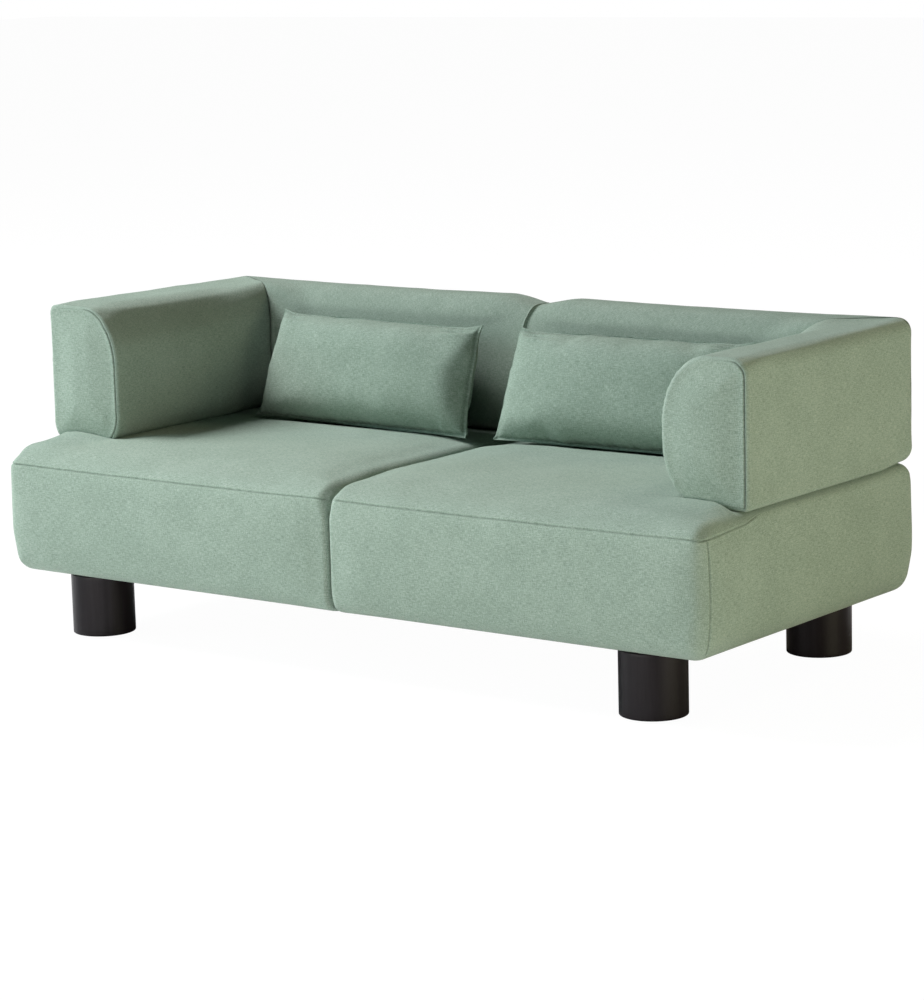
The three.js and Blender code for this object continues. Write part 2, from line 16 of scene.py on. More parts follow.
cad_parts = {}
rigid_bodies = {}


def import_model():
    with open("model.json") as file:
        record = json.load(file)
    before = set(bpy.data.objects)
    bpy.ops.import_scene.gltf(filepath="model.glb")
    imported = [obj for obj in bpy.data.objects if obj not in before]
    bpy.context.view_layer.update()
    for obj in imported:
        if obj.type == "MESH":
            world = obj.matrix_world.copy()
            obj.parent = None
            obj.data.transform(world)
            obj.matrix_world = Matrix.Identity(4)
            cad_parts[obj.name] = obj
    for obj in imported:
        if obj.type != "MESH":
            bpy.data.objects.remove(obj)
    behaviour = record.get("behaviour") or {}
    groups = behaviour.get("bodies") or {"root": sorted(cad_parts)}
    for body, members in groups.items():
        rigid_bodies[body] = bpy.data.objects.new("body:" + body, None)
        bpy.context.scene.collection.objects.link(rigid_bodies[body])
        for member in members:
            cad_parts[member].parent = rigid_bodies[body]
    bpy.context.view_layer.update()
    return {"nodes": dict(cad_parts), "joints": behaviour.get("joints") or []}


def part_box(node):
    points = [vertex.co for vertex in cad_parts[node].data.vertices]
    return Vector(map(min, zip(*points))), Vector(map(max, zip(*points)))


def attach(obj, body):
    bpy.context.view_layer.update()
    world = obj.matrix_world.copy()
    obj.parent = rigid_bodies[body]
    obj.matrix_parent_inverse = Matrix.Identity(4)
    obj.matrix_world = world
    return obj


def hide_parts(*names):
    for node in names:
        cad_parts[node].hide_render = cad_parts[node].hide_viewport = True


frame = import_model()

# %% [markdown]
# ## Sizes
#
# All lengths below are in millimetres, because that is how an upholsterer measures, and they are turned
# into metres only when a mesh is made. The places come from the frame's boxes. What the frame doesn't
# hold is how soft each edge is, how far a panel is crowned, and where the seams run.

# %% Places read from the frame
MM = 0.001


def box_mm(node):
    low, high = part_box(node)
    return np.array(low) / MM, np.array(high) / MM


base_low, base_high = box_mm("base_cover_right")
arm_low, arm_high = box_mm("arm_cover_right")
back_low, _ = box_mm("back_cover_right")

SIDE = base_high[0]
FRONT = base_low[1]
REAR = base_high[1]
UNDERSIDE = base_low[2]
SPLIT = base_low[0]
DECK = arm_low[2] - 0.4
TOP = arm_high[2]
ARM_WIDTH = SIDE - arm_low[0]
ARM_FRONT = arm_low[1]
BACK_DEPTH = REAR - back_low[1]
CROWN = base_high[2] - DECK
print("deck at", round(DECK, 1), "mm, top at", round(TOP, 1), "mm, crown", round(CROWN, 1), "mm")

# %% [markdown]
# ## Small tools for shapes
#
# `smooth` is the easing that every soft transition uses. `waves` is a sum of a few random sine waves,
# which gives cloth the slight unevenness that foam and hand work leave. Its random numbers are seeded,
# so the sofa comes out the same each time.

# %% Easing and unevenness
def smooth(t):
    t = np.clip(t, 0.0, 1.0)
    return t * t * (3 - 2 * t)


def waves(points, length, seed, count=7):
    """A random, smooth value about -1 to 1 at each point, with bumps about one length across."""
    rng = np.random.default_rng(seed)
    total = np.zeros(len(points))
    for _ in range(count):
        way = rng.normal(size=3)
        way *= rng.uniform(0.6, 1.5) / np.linalg.norm(way)
        total += np.sin(points @ way * (2 * math.pi / length) + rng.uniform(0, 2 * math.pi))
    return total / math.sqrt(count)


# %% [markdown]
# ## The cloth lattice
#
# Each upholstered block starts as the surface of a box, divided into small four-sided cells, like the
# panels of a cover laid out on a cutting table. A form function then bends the box into its soft shape.
# A modifier such as Bevel could round a box too, but with a lattice every thread line is known: a seam
# is one row of cells, a stitch line is the row beside it, and each panel keeps its own weave direction
# in a UV map that is measured in metres.

# %% Rows and lattices
def linked(name, data):
    """A new object in the scene."""
    obj = bpy.data.objects.new(name, data)
    bpy.context.scene.collection.objects.link(obj)
    return obj


SEAM_ROWS = np.array([-8, -5, -3.2, -1.8, -0.8, 0, 0.8, 1.8, 3.2, 5, 8.0])


def rows(low, high, step, marks=()):
    """Places from low to high about one step apart, and close together at each mark, for a seam."""
    places = np.linspace(low, high, max(3, round((high - low) / step) + 1))
    for mark in marks:
        places = places[np.abs(places - mark) > SEAM_ROWS[-1] + 0.35 * step]
        places = np.concatenate([places, mark + SEAM_ROWS])
    return np.unique(np.round(np.clip(places, low, high), 5))


class Lattice:
    """The surface of a box cut into cells: ids[i, j, k] is a surface point's number."""

    def __init__(self, xs, ys, zs, full_length=1.0):
        self.axes = (xs, ys, zs)
        shell = np.zeros([len(a) for a in self.axes], bool)
        shell[[0, -1]] = True
        shell[:, [0, -1]] = True
        shell[:, :, [0, -1]] = True
        self.ids = np.full(shell.shape, -1)
        self.ids[shell] = np.arange(shell.sum())
        i, j, k = np.nonzero(shell)
        self.rest = np.stack([xs[i], ys[j], zs[k]], 1)
        quads, uvs = [], []
        cloth = self.rest * [1, full_length, 1]
        for axis in range(3):
            a, b = [other for other in range(3) if other != axis]
            for end in (0, 1):
                grid = self.side(axis, end)
                quad = np.stack([grid[:-1, :-1], grid[1:, :-1], grid[1:, 1:], grid[:-1, 1:]], -1)
                quad = quad.reshape(-1, 4)
                if (axis == 1) == (end == 1):
                    quad = quad[:, ::-1]
                quads.append(quad)
                uvs.append(cloth[quad][:, :, [a, b]] * MM + (2 * axis + end) * 0.37)
        self.quads = np.concatenate(quads)
        self.uvs = np.concatenate(uvs)

    def side(self, axis, end):
        return np.take(self.ids, -end, axis)

    def on(self, axis, end):
        """True for each point of one side."""
        flag = np.zeros(len(self.rest), bool)
        flag[self.side(axis, end).ravel()] = True
        return flag


def spline_rows(grid, old, new, axis):
    """Carries values from evenly spaced rows to new rows, by a smooth curve through the old ones."""
    grid = np.moveaxis(grid, axis, 0)
    last = len(old) - 1
    at = np.clip((new - old[0]) / (old[-1] - old[0]) * last, 0, last)
    i = np.minimum(at.astype(int), last - 1)
    f = (at - i).reshape(-1, *[1] * (grid.ndim - 1))
    p0, p1, p2, p3 = (grid[np.clip(i + shift, 0, last)] for shift in (-1, 0, 1, 2))
    bend = 2 * p0 - 5 * p1 + 4 * p2 - p3 + f * (3 * (p1 - p2) + p3 - p0)
    value = p1 + 0.5 * f * (p2 - p0 + f * bend)
    return np.moveaxis(value, 0, axis)


def carry(coarse, values, fine):
    """Carries a value at each point of a coarse lattice to a finer lattice of the same box."""
    out = np.zeros((len(fine.rest), values.shape[1]))
    for axis in range(3):
        a, b = [other for other in range(3) if other != axis]
        for end in (0, 1):
            grid = values[coarse.side(axis, end)]
            grid = spline_rows(grid, coarse.axes[a], fine.axes[a], 0)
            out[fine.side(axis, end)] = spline_rows(grid, coarse.axes[b], fine.axes[b], 1)
    return out


def calm(values, quads, rounds):
    """Evens out values between neighbouring points, a few times."""
    count = np.zeros((len(values), 1))
    for n in range(4):
        np.add.at(count, quads[:, n], 2.0)
    for _ in range(rounds):
        total = np.zeros_like(values)
        for n in range(4):
            beside = values[quads[:, (n + 1) % 4]] + values[quads[:, (n + 3) % 4]]
            np.add.at(total, quads[:, n], beside)
        values = 0.5 * values + 0.5 * total / count
    return values


def normals_of(places, quads):
    """Each point's outward direction, from the cells round it."""
    a, b, c, d = (places[quads[:, n]] for n in range(4))
    across = np.cross(c - a, d - b)
    total = np.zeros_like(places)
    for n in range(4):
        np.add.at(total, quads[:, n], across)
    return total / np.maximum(np.linalg.norm(total, axis=1, keepdims=True), 1e-12)


def mesh_object(name, places, quads, uvs=None, seam_shade=None):
    """A smooth-shaded object from points in millimetres and four-sided cells.

    The last argument is 1 at the points that lie in the bottom of a seam, and falls to 0 beside it; the
    cloth's colour is darkened by it, as painted shade in the seam.
    """
    mesh = bpy.data.meshes.new(name)
    mesh.from_pydata((places * MM).tolist(), [], quads.tolist())
    if uvs is not None:
        layer = mesh.uv_layers.new(name="cloth")
        layer.data.foreach_set("uv", uvs.reshape(-1).astype(np.float32))
    if seam_shade is not None:
        depth = mesh.attributes.new("seam_shade", "FLOAT", "POINT")
        depth.data.foreach_set("value", np.clip(seam_shade, 0, 1).astype(np.float32))
    mesh.shade_smooth()
    return linked(name, mesh)


# %% [markdown]
# ## Filling a cover
#
# A cover is cut a little too small for its foam, so it swells between its seams. A cloth simulation
# with pressure inside does the same: the seams and the underside are pinned, and the panels between
# them puff out. It runs on a coarse lattice. Its movement is evened out, because thin cloth buckles
# where foam would hold it, and only the movement is carried to the fine lattice, so the seam rows stay
# sharp. A cap keeps any point from moving further than a few millimetres.

# %% Swelling by cloth simulation
CLOTH_MASS = 0.3


def blow_up(obj, stiffness, shear, bending, quality, pressure, frames):
    """Gives a closed cover a cloth simulation with air inside."""
    cloth = obj.modifiers.new("cloth", "CLOTH")
    fabric = cloth.settings
    fabric.quality = quality
    fabric.mass = CLOTH_MASS
    fabric.tension_stiffness = stiffness
    fabric.compression_stiffness = stiffness
    fabric.shear_stiffness = shear
    fabric.bending_stiffness = bending
    fabric.use_pressure = True
    fabric.uniform_pressure_force = pressure
    fabric.effector_weights.gravity = 0.0
    cloth.point_cache.frame_start = 1
    cloth.point_cache.frame_end = frames
    return fabric


def simulated_places(obj):
    """Where a simulated cover's points are now, in millimetres."""
    now = obj.evaluated_get(bpy.context.evaluated_depsgraph_get()).to_mesh()
    places = np.empty(len(now.vertices) * 3)
    now.vertices.foreach_get("co", places)
    return places.reshape(-1, 3) / MM


def swell(name, lattice, places, held, cap, pressure=4.0, frames=16, stiffness=18.0):
    """The movement of each point when the closed cover is blown up, at most about cap millimetres."""
    obj = mesh_object(name, places, lattice.quads)
    group = obj.vertex_groups.new(name="held")
    group.add(np.nonzero(held)[0].tolist(), 1.0, "REPLACE")
    shear = stiffness / 3
    fabric = blow_up(obj, stiffness, shear, bending=0.6, quality=5, pressure=pressure, frames=frames)
    fabric.vertex_group_mass = "held"
    scene = bpy.context.scene
    for number in range(1, frames + 1):
        scene.frame_set(number)
    move = simulated_places(obj) - places
    bpy.data.objects.remove(obj, do_unlink=True)
    scene.frame_set(1)
    move = calm(move, lattice.quads, 5)
    length = np.maximum(np.linalg.norm(move, axis=1, keepdims=True), 1e-9)
    print(name, "swelled by", round(float(length.max()), 1), "mm, capped at", cap)
    return move * (cap * np.tanh(length / cap) / length)


# %% [markdown]
# ## Seams
#
# Where two panels are sewn together, the spare cloth is folded to one side, and a line of stitches on
# each side holds it flat. That leaves a narrow valley, a low ridge where the folded cloth lies, and
# small puckers between the stitches. All three are real height here, not only bump, so they catch light
# in every view. Each point also carries a value that is 1 at the bottom of a valley, and the cloth's
# colour is darkened with it: painted shade in the seams, darker than this mesh's cells can show.

# %% The height of the cloth beside a seam
VALLEY = 1.7
RIDGE = 0.8
PUCKER = 0.5


def seam_height(across, along, seed, strength=1.0):
    """Height in millimetres at a distance across a seam; the folded cloth lies on the minus side."""
    here = np.stack([along, across * 0.3, np.zeros_like(along)], 1)
    valley = -VALLEY * np.exp(-((across / 1.5) ** 2))
    folded = np.exp(-(((across + 4) / 2.6) ** 2))
    flat_side = np.exp(-(((across - 4) / 2.6) ** 2))
    ridge = RIDGE * folded + 0.4 * RIDGE * flat_side
    pucker = PUCKER * waves(here, 14, seed) * np.exp(-np.abs(across) / 9)
    sink = -0.9 * np.exp(-np.abs(across) / 14)
    return strength * (valley + ridge + pucker + sink)


def in_seam(across):
    """How deep in a seam a point lies, from its distance across the seam in millimetres."""
    return np.exp(-((across / 1.7) ** 2))


# %% [markdown]
# ## The base
#
# Each half of the base is a thick block whose top rolls softly over the front and the outer side. One
# long seam runs just under the top edge, along the front and round the corner, and the front panel
# wraps the corner to a second, upright seam on the side. The two halves press together, except at the
# top of the front, where their rounded corners leave a dark wedge.

# %% The form of the base
TOP_SEAM = 375.0
CORNER_SEAM = FRONT + 26.0
PANEL_INSET = 3.0
base_rest_low = np.array([SPLIT, FRONT + PANEL_INSET, UNDERSIDE + 1.0])
base_rest_high = np.array([SIDE - PANEL_INSET, REAR - PANEL_INSET, DECK])


def between(value, start, end):
    return smooth((value - start) / (end - start))


def round_block(p, low, high, r_low, r_high):
    """Bends a box's surface so that each edge is part of an ellipse. The radii may change along it."""
    centre = np.clip(p, low + r_low, high - r_high)
    radii = np.where(p < centre, r_low, r_high)
    away = (p - centre) / radii
    length = np.linalg.norm(away, axis=1, keepdims=True)
    reach = np.abs(away).max(1, keepdims=True)
    return centre + radii * away * np.where(length > 1e-9, reach / np.maximum(length, 1e-9), 1.0)


def base_form(rest):
    """Places of the right half's points from its box."""
    p = rest.copy()
    x, y, z = p.T
    low, high = base_rest_low, base_rest_high
    # The top seam climbs on the outer side until the arm covers it.
    on_side = between(x, high[0] - 40, high[0] - 5)
    climb = 7 * between(y, FRONT + 30, FRONT + 170) + 18 * between(y, FRONT + 150, FRONT + 240)
    climb = climb * (1 - between(y, FRONT + 300, REAR - 80)) * on_side
    under = np.clip((z - low[2]) / (TOP_SEAM - low[2]), 0, 1) ** 3
    over = np.clip((high[2] - z) / (high[2] - TOP_SEAM), 0, 1)
    z = z + climb * np.where(z <= TOP_SEAM, under, over)
    p = np.stack([x, y, z], 1)
    to_top = between(z, 362, 400)
    to_foot = 1 - between(z, 165, 235)
    near = [
        (1 - between(x, low[0], low[0] + 130)) + 1e-3,
        (1 - between(high[0] - x, 0, 130)) + 1e-3,
        (1 - between(y, low[1], low[1] + 130)) + 1e-3,
        (1 - between(high[1] - y, 0, 130)) + 1e-3,
    ]
    share = sum(near)
    split, outer, front, rear = (weight / share for weight in near)
    r_low = np.stack(
        [
            5 + 24 * between(z, 322, 378) + 5 * to_foot,
            26 + 40 * to_top + 14 * to_foot,
            12 * split + 44 * outer + 34 * front + 40 * rear,
        ],
        1,
    )
    r_high = np.stack(
        [
            22 + 6 * to_top + 18 * to_foot,
            24 + 6 * to_top + 20 * to_foot,
            32 * split + 26 * outer + 42 * front + 26 * rear,
        ],
        1,
    )
    p = round_block(p, low, high, r_low, r_high)
    return crown_base(p)


def crown_base(p):
    """Swells the seat, the front and the side between their edges."""
    x, y, z = p.T
    top = between(z, DECK - 34, DECK)
    inner = SIDE - ARM_WIDTH
    back_face = REAR - BACK_DEPTH
    beside_arm = between(y, ARM_FRONT - 10, ARM_FRONT + 20)
    outer_end = SIDE - 10 - (ARM_WIDTH - 80) * beside_arm
    seat = (0.55 + 0.45 * between(x, 10, 190)) * (1 - between(x, outer_end - 50, outer_end))
    seat = seat * (1 + 0.45 * between(x, inner - 60, SIDE - 110) * (1 - beside_arm))
    seat = seat * between(y, FRONT + 35, FRONT + 210) * (1 - between(y, back_face + 2, back_face + 46))
    # The seat is a little lower under the cushions.
    seat = seat * (1 - 0.8 * between(y, back_face - 190, back_face - 90) * between(inner - x, 20, 90))
    z = z + top * (CROWN + 1.5) * seat
    tall = np.sin(math.pi * np.clip((z - UNDERSIDE) / (TOP_SEAM - UNDERSIDE), 0, 1)) ** 0.8
    facing_front = 1 - between(y, FRONT, FRONT + 70)
    wide = between(x, 0, 110) * between(SIDE - x, -20, 80)
    y = y - 4 * facing_front * tall * wide
    facing_side = 1 - between(SIDE - x, 0, 70)
    x = x + 6.5 * facing_side * tall * between(y, FRONT - 30, FRONT + 50) * between(REAR - y, -30, 50)
    facing_rear = 1 - between(REAR - y, 0, 60)
    y = y + 2 * facing_rear * tall * wide
    return np.stack([x, y, z], 1)


def lean_joint(p):
    """The left half's foot bulges a little past the middle, and the right half gives way to it."""
    x, y, z = p.T
    shift = 7 * (1 - between(z, UNDERSIDE + 6, UNDERSIDE + 46)) * np.exp(-np.abs(x) / 45)
    return np.stack([x + shift, y, z], 1)


# %% Making both halves
def recess(p, rest):
    """The underside inside its hem lies a little higher, where the dust cloth is stapled."""
    hem = 70.0
    x, y, z = rest.T
    inside = between(x, 0, 6) * between(SIDE - x, hem, hem + 14)
    inside = inside * between(y - FRONT, hem, hem + 14) * between(REAR - y, hem, hem + 14)
    below = z < base_rest_low[2] + 0.01
    return p + np.stack([0 * x, 0 * x, 5.0 * inside * below], 1)


def mirrored(places, quads, uvs, left):
    if not left:
        return places, quads, uvs
    return places * [-1, 1, 1], quads[:, ::-1], uvs[:, ::-1]


def base_piece(side_name, left, seed):
    low, high = base_rest_low, base_rest_high
    coarse = Lattice(*[rows(low[n], high[n], 17) for n in range(3)])
    start = base_form(coarse.rest)
    on_bottom = coarse.on(2, 0)
    z = coarse.rest[:, 2]
    seam_row = coarse.axes[2][np.argmin(np.abs(coarse.axes[2] - TOP_SEAM))]
    x, y, _ = coarse.rest.T
    near_deck = z > 385
    under_arm = (x > SIDE - ARM_WIDTH - 20) & (y > ARM_FRONT - 12) & near_deck
    under_back = (y > REAR - BACK_DEPTH - 20) & near_deck
    held = on_bottom | (np.abs(z - seam_row) < 1) & (coarse.on(0, 1) | coarse.on(1, 0))
    held = held | coarse.on(0, 0) | under_arm | under_back
    move = swell("base_" + side_name, coarse, start, held, cap=5.0, pressure=3.0)
    fine = Lattice(
        rows(low[0], high[0], 7.5),
        rows(low[1], high[1], 7.5, [CORNER_SEAM]),
        rows(low[2], high[2], 7.0, [TOP_SEAM]),
    )
    rest = fine.rest
    places = base_form(rest) + carry(coarse, move, fine)
    places = recess(places, rest)
    out = normals_of(places, fine.quads)
    x, y, z = rest.T
    front, outer, inner = fine.on(1, 0), fine.on(0, 1), fine.on(0, 0)
    walk = np.where(front, x, SIDE + y - FRONT)
    fade = np.where(outer & ~front, 1 - between(y, FRONT + 196, FRONT + 214), 1.0)
    height = (front | outer) * seam_height(TOP_SEAM - z, walk, seed, 1.0) * fade
    below = 1 - between(z, TOP_SEAM - 6, TOP_SEAM)
    height += (outer | inner) * seam_height(y - CORNER_SEAM, z, seed + 1, 1.0) * below
    # Painted shade: the cloth's colour is darkened in the bottom of the top seam and of the corner seam.
    seam_shade = (front | outer) * in_seam(TOP_SEAM - z) * fade
    seam_shade = 0.35 * np.maximum(seam_shade, outer * in_seam(y - CORNER_SEAM) * below)
    uneven = 0.45 * waves(places, 190, seed + 2) + 0.12 * waves(places, 60, seed + 3)
    height += ~fine.on(2, 0) * uneven
    places = places + out * height[:, None]
    if left:
        # This model's left shoulder is made a little fuller, up against the arm's foot.
        shoulder = between(x, SIDE - ARM_WIDTH + 20, SIDE - 70) * between(z, TOP_SEAM, DECK - 2)
        shoulder = shoulder * between(y, FRONT, FRONT + 70) * (1 - between(y, ARM_FRONT, ARM_FRONT + 70))
        places[:, 2] += 8 * shoulder
    places, quads, uvs = mirrored(places, fine.quads, fine.uvs, left)
    places = lean_joint(places)
    obj = mesh_object("base_upholstery_" + side_name, places, quads, uvs, seam_shade)
    print(obj.name, len(places), "points")
    return obj, fine, places, normals_of(places, quads)


# %% [markdown]
# ## Arms and back
#
# An arm and a back section are the same thing: flat outside, a long round inside, and a front panel
# that wraps its edge to a seam. They are drawn in their own coordinates: how far in from the outer
# face, how far along from the free end, and how high. The back is the arm's outline narrowed to its own
# thickness, so that the two outlines nearly match where the mitre cuts them. Each arm has an outline of
# its own towards the front, which gives the model the slight unevenness of hand work.
# The front panel's seam lies on the edge on the sofa's right-hand side, and behind the edge elsewhere.

# %% The D-shaped outline
MITRE_EDGE = 3.0
REAR_CORNER = 30.0
CORNER_CHANGE = 150.0
narrow = BACK_DEPTH / ARM_WIDTH


def corners_of(along, length, is_arm, left):
    """Radii (across, up) of the outline's four corners, which change towards the mitre."""
    # Each arm has its own outline here: the left one is squarer inside, the right one outside.
    if is_arm:
        own = {
            "outer_top": (22, 24) if left else (38, 36),
            "inner_top": (94, 126) if left else (108, 138),
            "inner_foot": (46, 66) if left else (92, 126),
            "outer_foot": (34, 44) if left else (11, 14),
        }
        shared = {
            "outer_top": (39, 30),
            "inner_top": (56, 72),
            "inner_foot": (84, 120),
            "outer_foot": (36, 34),
        }
    else:
        own = {
            "outer_top": (26, 30),
            "inner_top": (narrow * 108, 138),
            "inner_foot": (narrow * 84, 120),
            "outer_foot": (24, 34),
        }
        shared = {**own, "inner_top": (narrow * 56, 72)}
    meet = smooth(1 - (length - along) / CORNER_CHANGE)
    return {
        name: tuple(radius + (shared[name][n] - radius) * meet for n, radius in enumerate(own[name]))
        for name in own
    }


def outline(depth, z, width, low, high, corners):
    """Moves points of a rectangle into the D, and gives their distance in from it and its direction."""
    s = np.minimum.reduce([depth, width - depth, z - low, high - z])
    which = np.argmin([depth, width - depth, z - low, high - z], axis=0)
    normal = np.array([[-1, 0], [1, 0], [0, -1], [0, 1]])[which].astype(float)
    depth, z = depth.copy(), z.copy()
    for name, (across, up) in corners.items():
        way = -1 if "outer" in name else 1
        rise = 1 if "top" in name else -1
        centre = np.where(way < 0, across, width - across)
        middle = np.where(rise > 0, high - up, low + up)
        a = np.maximum(way * (depth - centre) / across, 0)
        b = np.maximum(rise * (z - middle) / up, 0)
        zone = (a > 0) & (b > 0)
        reach = np.maximum(a, b)
        length = np.hypot(a, b)
        factor = np.where(zone, reach / np.maximum(length, 1e-9), 1.0)
        depth = np.where(zone, centre + (depth - centre) * factor, depth)
        z = np.where(zone, middle + (z - middle) * factor, z)
        slope = np.stack([way * a * factor / across, rise * b * factor / up], 1)
        steep = np.maximum(np.linalg.norm(slope, axis=1), 1e-9)
        level = np.maximum(reach, 1e-6)
        s = np.where(zone, (1 - level) * level / steep, s)
        normal = np.where(zone[:, None], slope / steep[:, None], normal)
    return depth, z, s, normal


def soften_end(along, s, radius):
    """Rounds the edge between an end and the sides: returns the moves along and inwards."""
    u = np.clip((radius - s) / radius, 0, 1)
    v = np.clip((radius - along) / radius, 0, 1)
    scale = np.maximum(u, v) / np.maximum(np.hypot(u, v), 1e-9)
    both = (u > 0) & (v > 0)
    move_in = np.where(both, radius * (u - u * scale), 0)
    move_along = np.where(both, radius * (v - v * scale), 0)
    return move_along, move_in


def section_form(rest, is_arm, left):
    """Places of an arm's or back section's points, and how far in from the outline they lie.

    rest is [depth, share of length, height].
    """
    width = ARM_WIDTH if is_arm else BACK_DEPTH
    foot = DECK + 0.4
    depth, share, z = rest.T
    full, slope = (REAR - ARM_FRONT, narrow) if is_arm else (SIDE - SPLIT, 1 / narrow)
    length = full - depth * slope
    corners = corners_of(share * length, length, is_arm, left)
    depth, z, s, normal = outline(depth, z, width, foot, TOP, corners)
    # The mitre plane cuts the rounded outline, so the length is taken again where each point now is.
    length = full - depth * slope
    along = share * length
    end_distance = s.copy()
    # The panel's seam is on the edge where the band faces right, and runs on behind the edge elsewhere.
    on_edge = between(normal[:, 0] if left else -normal[:, 0], -0.15, 0.45)
    edge = 13 - 4 * on_edge if is_arm else 6.0
    move_along, move_in = soften_end(along, s, edge)
    mitre_edge = 0.8 + MITRE_EDGE * np.maximum(normal[:, 0], 0) ** 2
    end_along, end_in = soften_end(length - along, s, mitre_edge)
    depth = depth - normal[:, 0] * (move_in + end_in)
    z = z - normal[:, 1] * (move_in + end_in)
    along = along + move_along - end_along
    free_end = 1 - between(along, 0, 40)
    along = along - (9 if is_arm else 1.0) * free_end * between(s, 2, 85)
    if not is_arm:
        # The back sections are lower and fuller where they meet in the middle.
        drop = 0.05 if left else 0.046
        z = foot + (z - foot) * (1 - drop * np.clip(1 - along / 105, 0, 1) ** 2)
    crown = 3.0 * between(z, foot + 10, foot + 110) * between(TOP - z, 10, 110)
    crown = crown * between(along, 10, 120) * between(length - along, 0, 120)
    outer_face = 1 - between(depth, 0, 40)
    depth = depth - (crown + 3.0) * outer_face
    z = z + (6 if left else 4) * between(z, TOP - 60, TOP) * between(along, 4, 90)
    if is_arm:
        # The top is made to rise a little towards the front, more on the left arm.
        z = z + (9 if left else 1) * between(z, foot + 40, TOP) * (1 - share)
        x, y = SIDE - depth, ARM_FRONT + along
    else:
        # The joint in the middle is shifted a little to the right towards the rear.
        over = 10 * (1 - depth / width) * np.exp(-along / 70)
        x, y = SPLIT + along + (-over if left else over), REAR - depth
    # The sofa's upright rear corner.
    cx, cy = SIDE - REAR_CORNER, REAR - REAR_CORNER
    a = np.maximum(x - cx, 0) / REAR_CORNER
    b = np.maximum(y - cy, 0) / REAR_CORNER
    factor = np.where((a > 0) & (b > 0), np.maximum(a, b) / np.maximum(np.hypot(a, b), 1e-9), 1.0)
    x = np.where(a > 0, cx + (x - cx) * factor, x)
    y = np.where(b > 0, cy + (y - cy) * factor, y)
    return np.stack([x, y, z], 1), end_distance, on_edge


# %% Making the arms and the back sections
END_SEAM = 14.0
CAP_SEAM = 7.0
BACK_SEAM = 7.0


def section_piece(kind, side_name, left, seed):
    is_arm = kind == "arm"
    width = ARM_WIDTH if is_arm else BACK_DEPTH
    full = (REAR - ARM_FRONT) if is_arm else (SIDE - SPLIT)
    foot = DECK + 0.4
    coarse = Lattice(rows(0, width, 14), rows(0, full, 14) / full, rows(foot, TOP, 14))
    start, _, _ = section_form(coarse.rest, is_arm, left)
    along = coarse.rest[:, 1] * full
    across_rows = coarse.axes[1] * full
    seam = across_rows[np.argmin(np.abs(across_rows - END_SEAM))]
    held = coarse.on(2, 0) | coarse.on(1, 1) | (np.abs(along - seam) < 1) & ~coarse.on(1, 0)
    if not is_arm:
        held = held | coarse.on(1, 0)
    move = swell(kind + "_" + side_name, coarse, start, held, cap=5.0, pressure=3.0)
    end_seam = END_SEAM if is_arm else BACK_SEAM
    along_rows = np.concatenate([rows(0, full, 6.5, [end_seam]), [full - 1.6, full - 0.5]])
    cap_rows = [CAP_SEAM, width - CAP_SEAM] if is_arm else []
    cap_levels = [foot + CAP_SEAM, TOP - CAP_SEAM] if is_arm else []
    fine = Lattice(
        rows(0, width, 5.5, cap_rows),
        np.unique(along_rows) / full,
        rows(foot, TOP, 5.5, cap_levels),
        full_length=full,
    )
    places, inside, on_edge = section_form(fine.rest, is_arm, left)
    places = places + carry(coarse, move, fine)
    # The rest coordinates mirror the world's once, so the cells are turned to face out again.
    quads, uvs = (fine.quads[:, ::-1], fine.uvs[:, ::-1])
    out = normals_of(places, quads)
    along = fine.rest[:, 1] * full
    height = 0.45 * waves(places, 180, seed + 2) + 0.12 * waves(places, 60, seed + 3)
    height *= between(fine.rest[:, 2], foot, foot + 30)
    around = np.arctan2(fine.rest[:, 2] - 550, fine.rest[:, 0] - width / 2) * 120
    cap = fine.on(1, 0)
    mitre = in_seam((full - along) / 1.3)
    if is_arm:
        # The front panel is sewn to the band that goes round the arm.
        height += cap * on_edge * seam_height(CAP_SEAM - inside, around, seed, 1.1)
        height += ~cap * (1 - on_edge) * seam_height(along - END_SEAM, around, seed, 1.1)
        here = np.stack([around, 0 * along, 0 * along], 1)
        height += ~cap * 2 * PUCKER * waves(here, 14, seed) * np.exp(-along / 14)
        # Painted shade: the cloth's colour is darkened in the bottom of the front panel's seam and at the
        # mitre.
        seam_shade = cap * on_edge * in_seam(inside - CAP_SEAM)
        seam_shade = seam_shade + 0.6 * ~cap * (1 - on_edge) * in_seam(along - END_SEAM)
        seam_shade = np.maximum(seam_shade, 0.4 * mitre)
    else:
        height += ~cap * seam_height(along - BACK_SEAM, around, seed, 0.7)
        # Painted shade at the mitre only.
        seam_shade = 0.4 * mitre
    places = places + out * height[:, None]
    if left:
        places, quads, uvs = places * [-1, 1, 1], quads[:, ::-1], uvs[:, ::-1]
    obj = mesh_object(kind + "_upholstery_" + side_name, places, quads, uvs, seam_shade)
    print(obj.name, len(places), "points")
    return obj, fine, places, normals_of(places, quads)


upholstery = {}
for number, (side_name, left) in enumerate([("left", True), ("right", False)]):
    seed = 100 * (number + 1)
    upholstery["base_" + side_name] = base_piece(side_name, left, seed)
    upholstery["arm_" + side_name] = section_piece("arm", side_name, left, seed + 20)
    upholstery["back_" + side_name] = section_piece("back", side_name, left, seed + 40)

for key, (obj, _, _, _) in upholstery.items():
    kind, side_name = key.split("_")
    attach(obj, "sofa")
    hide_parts(kind + "_cover_" + side_name, kind + "_foam_" + side_name)

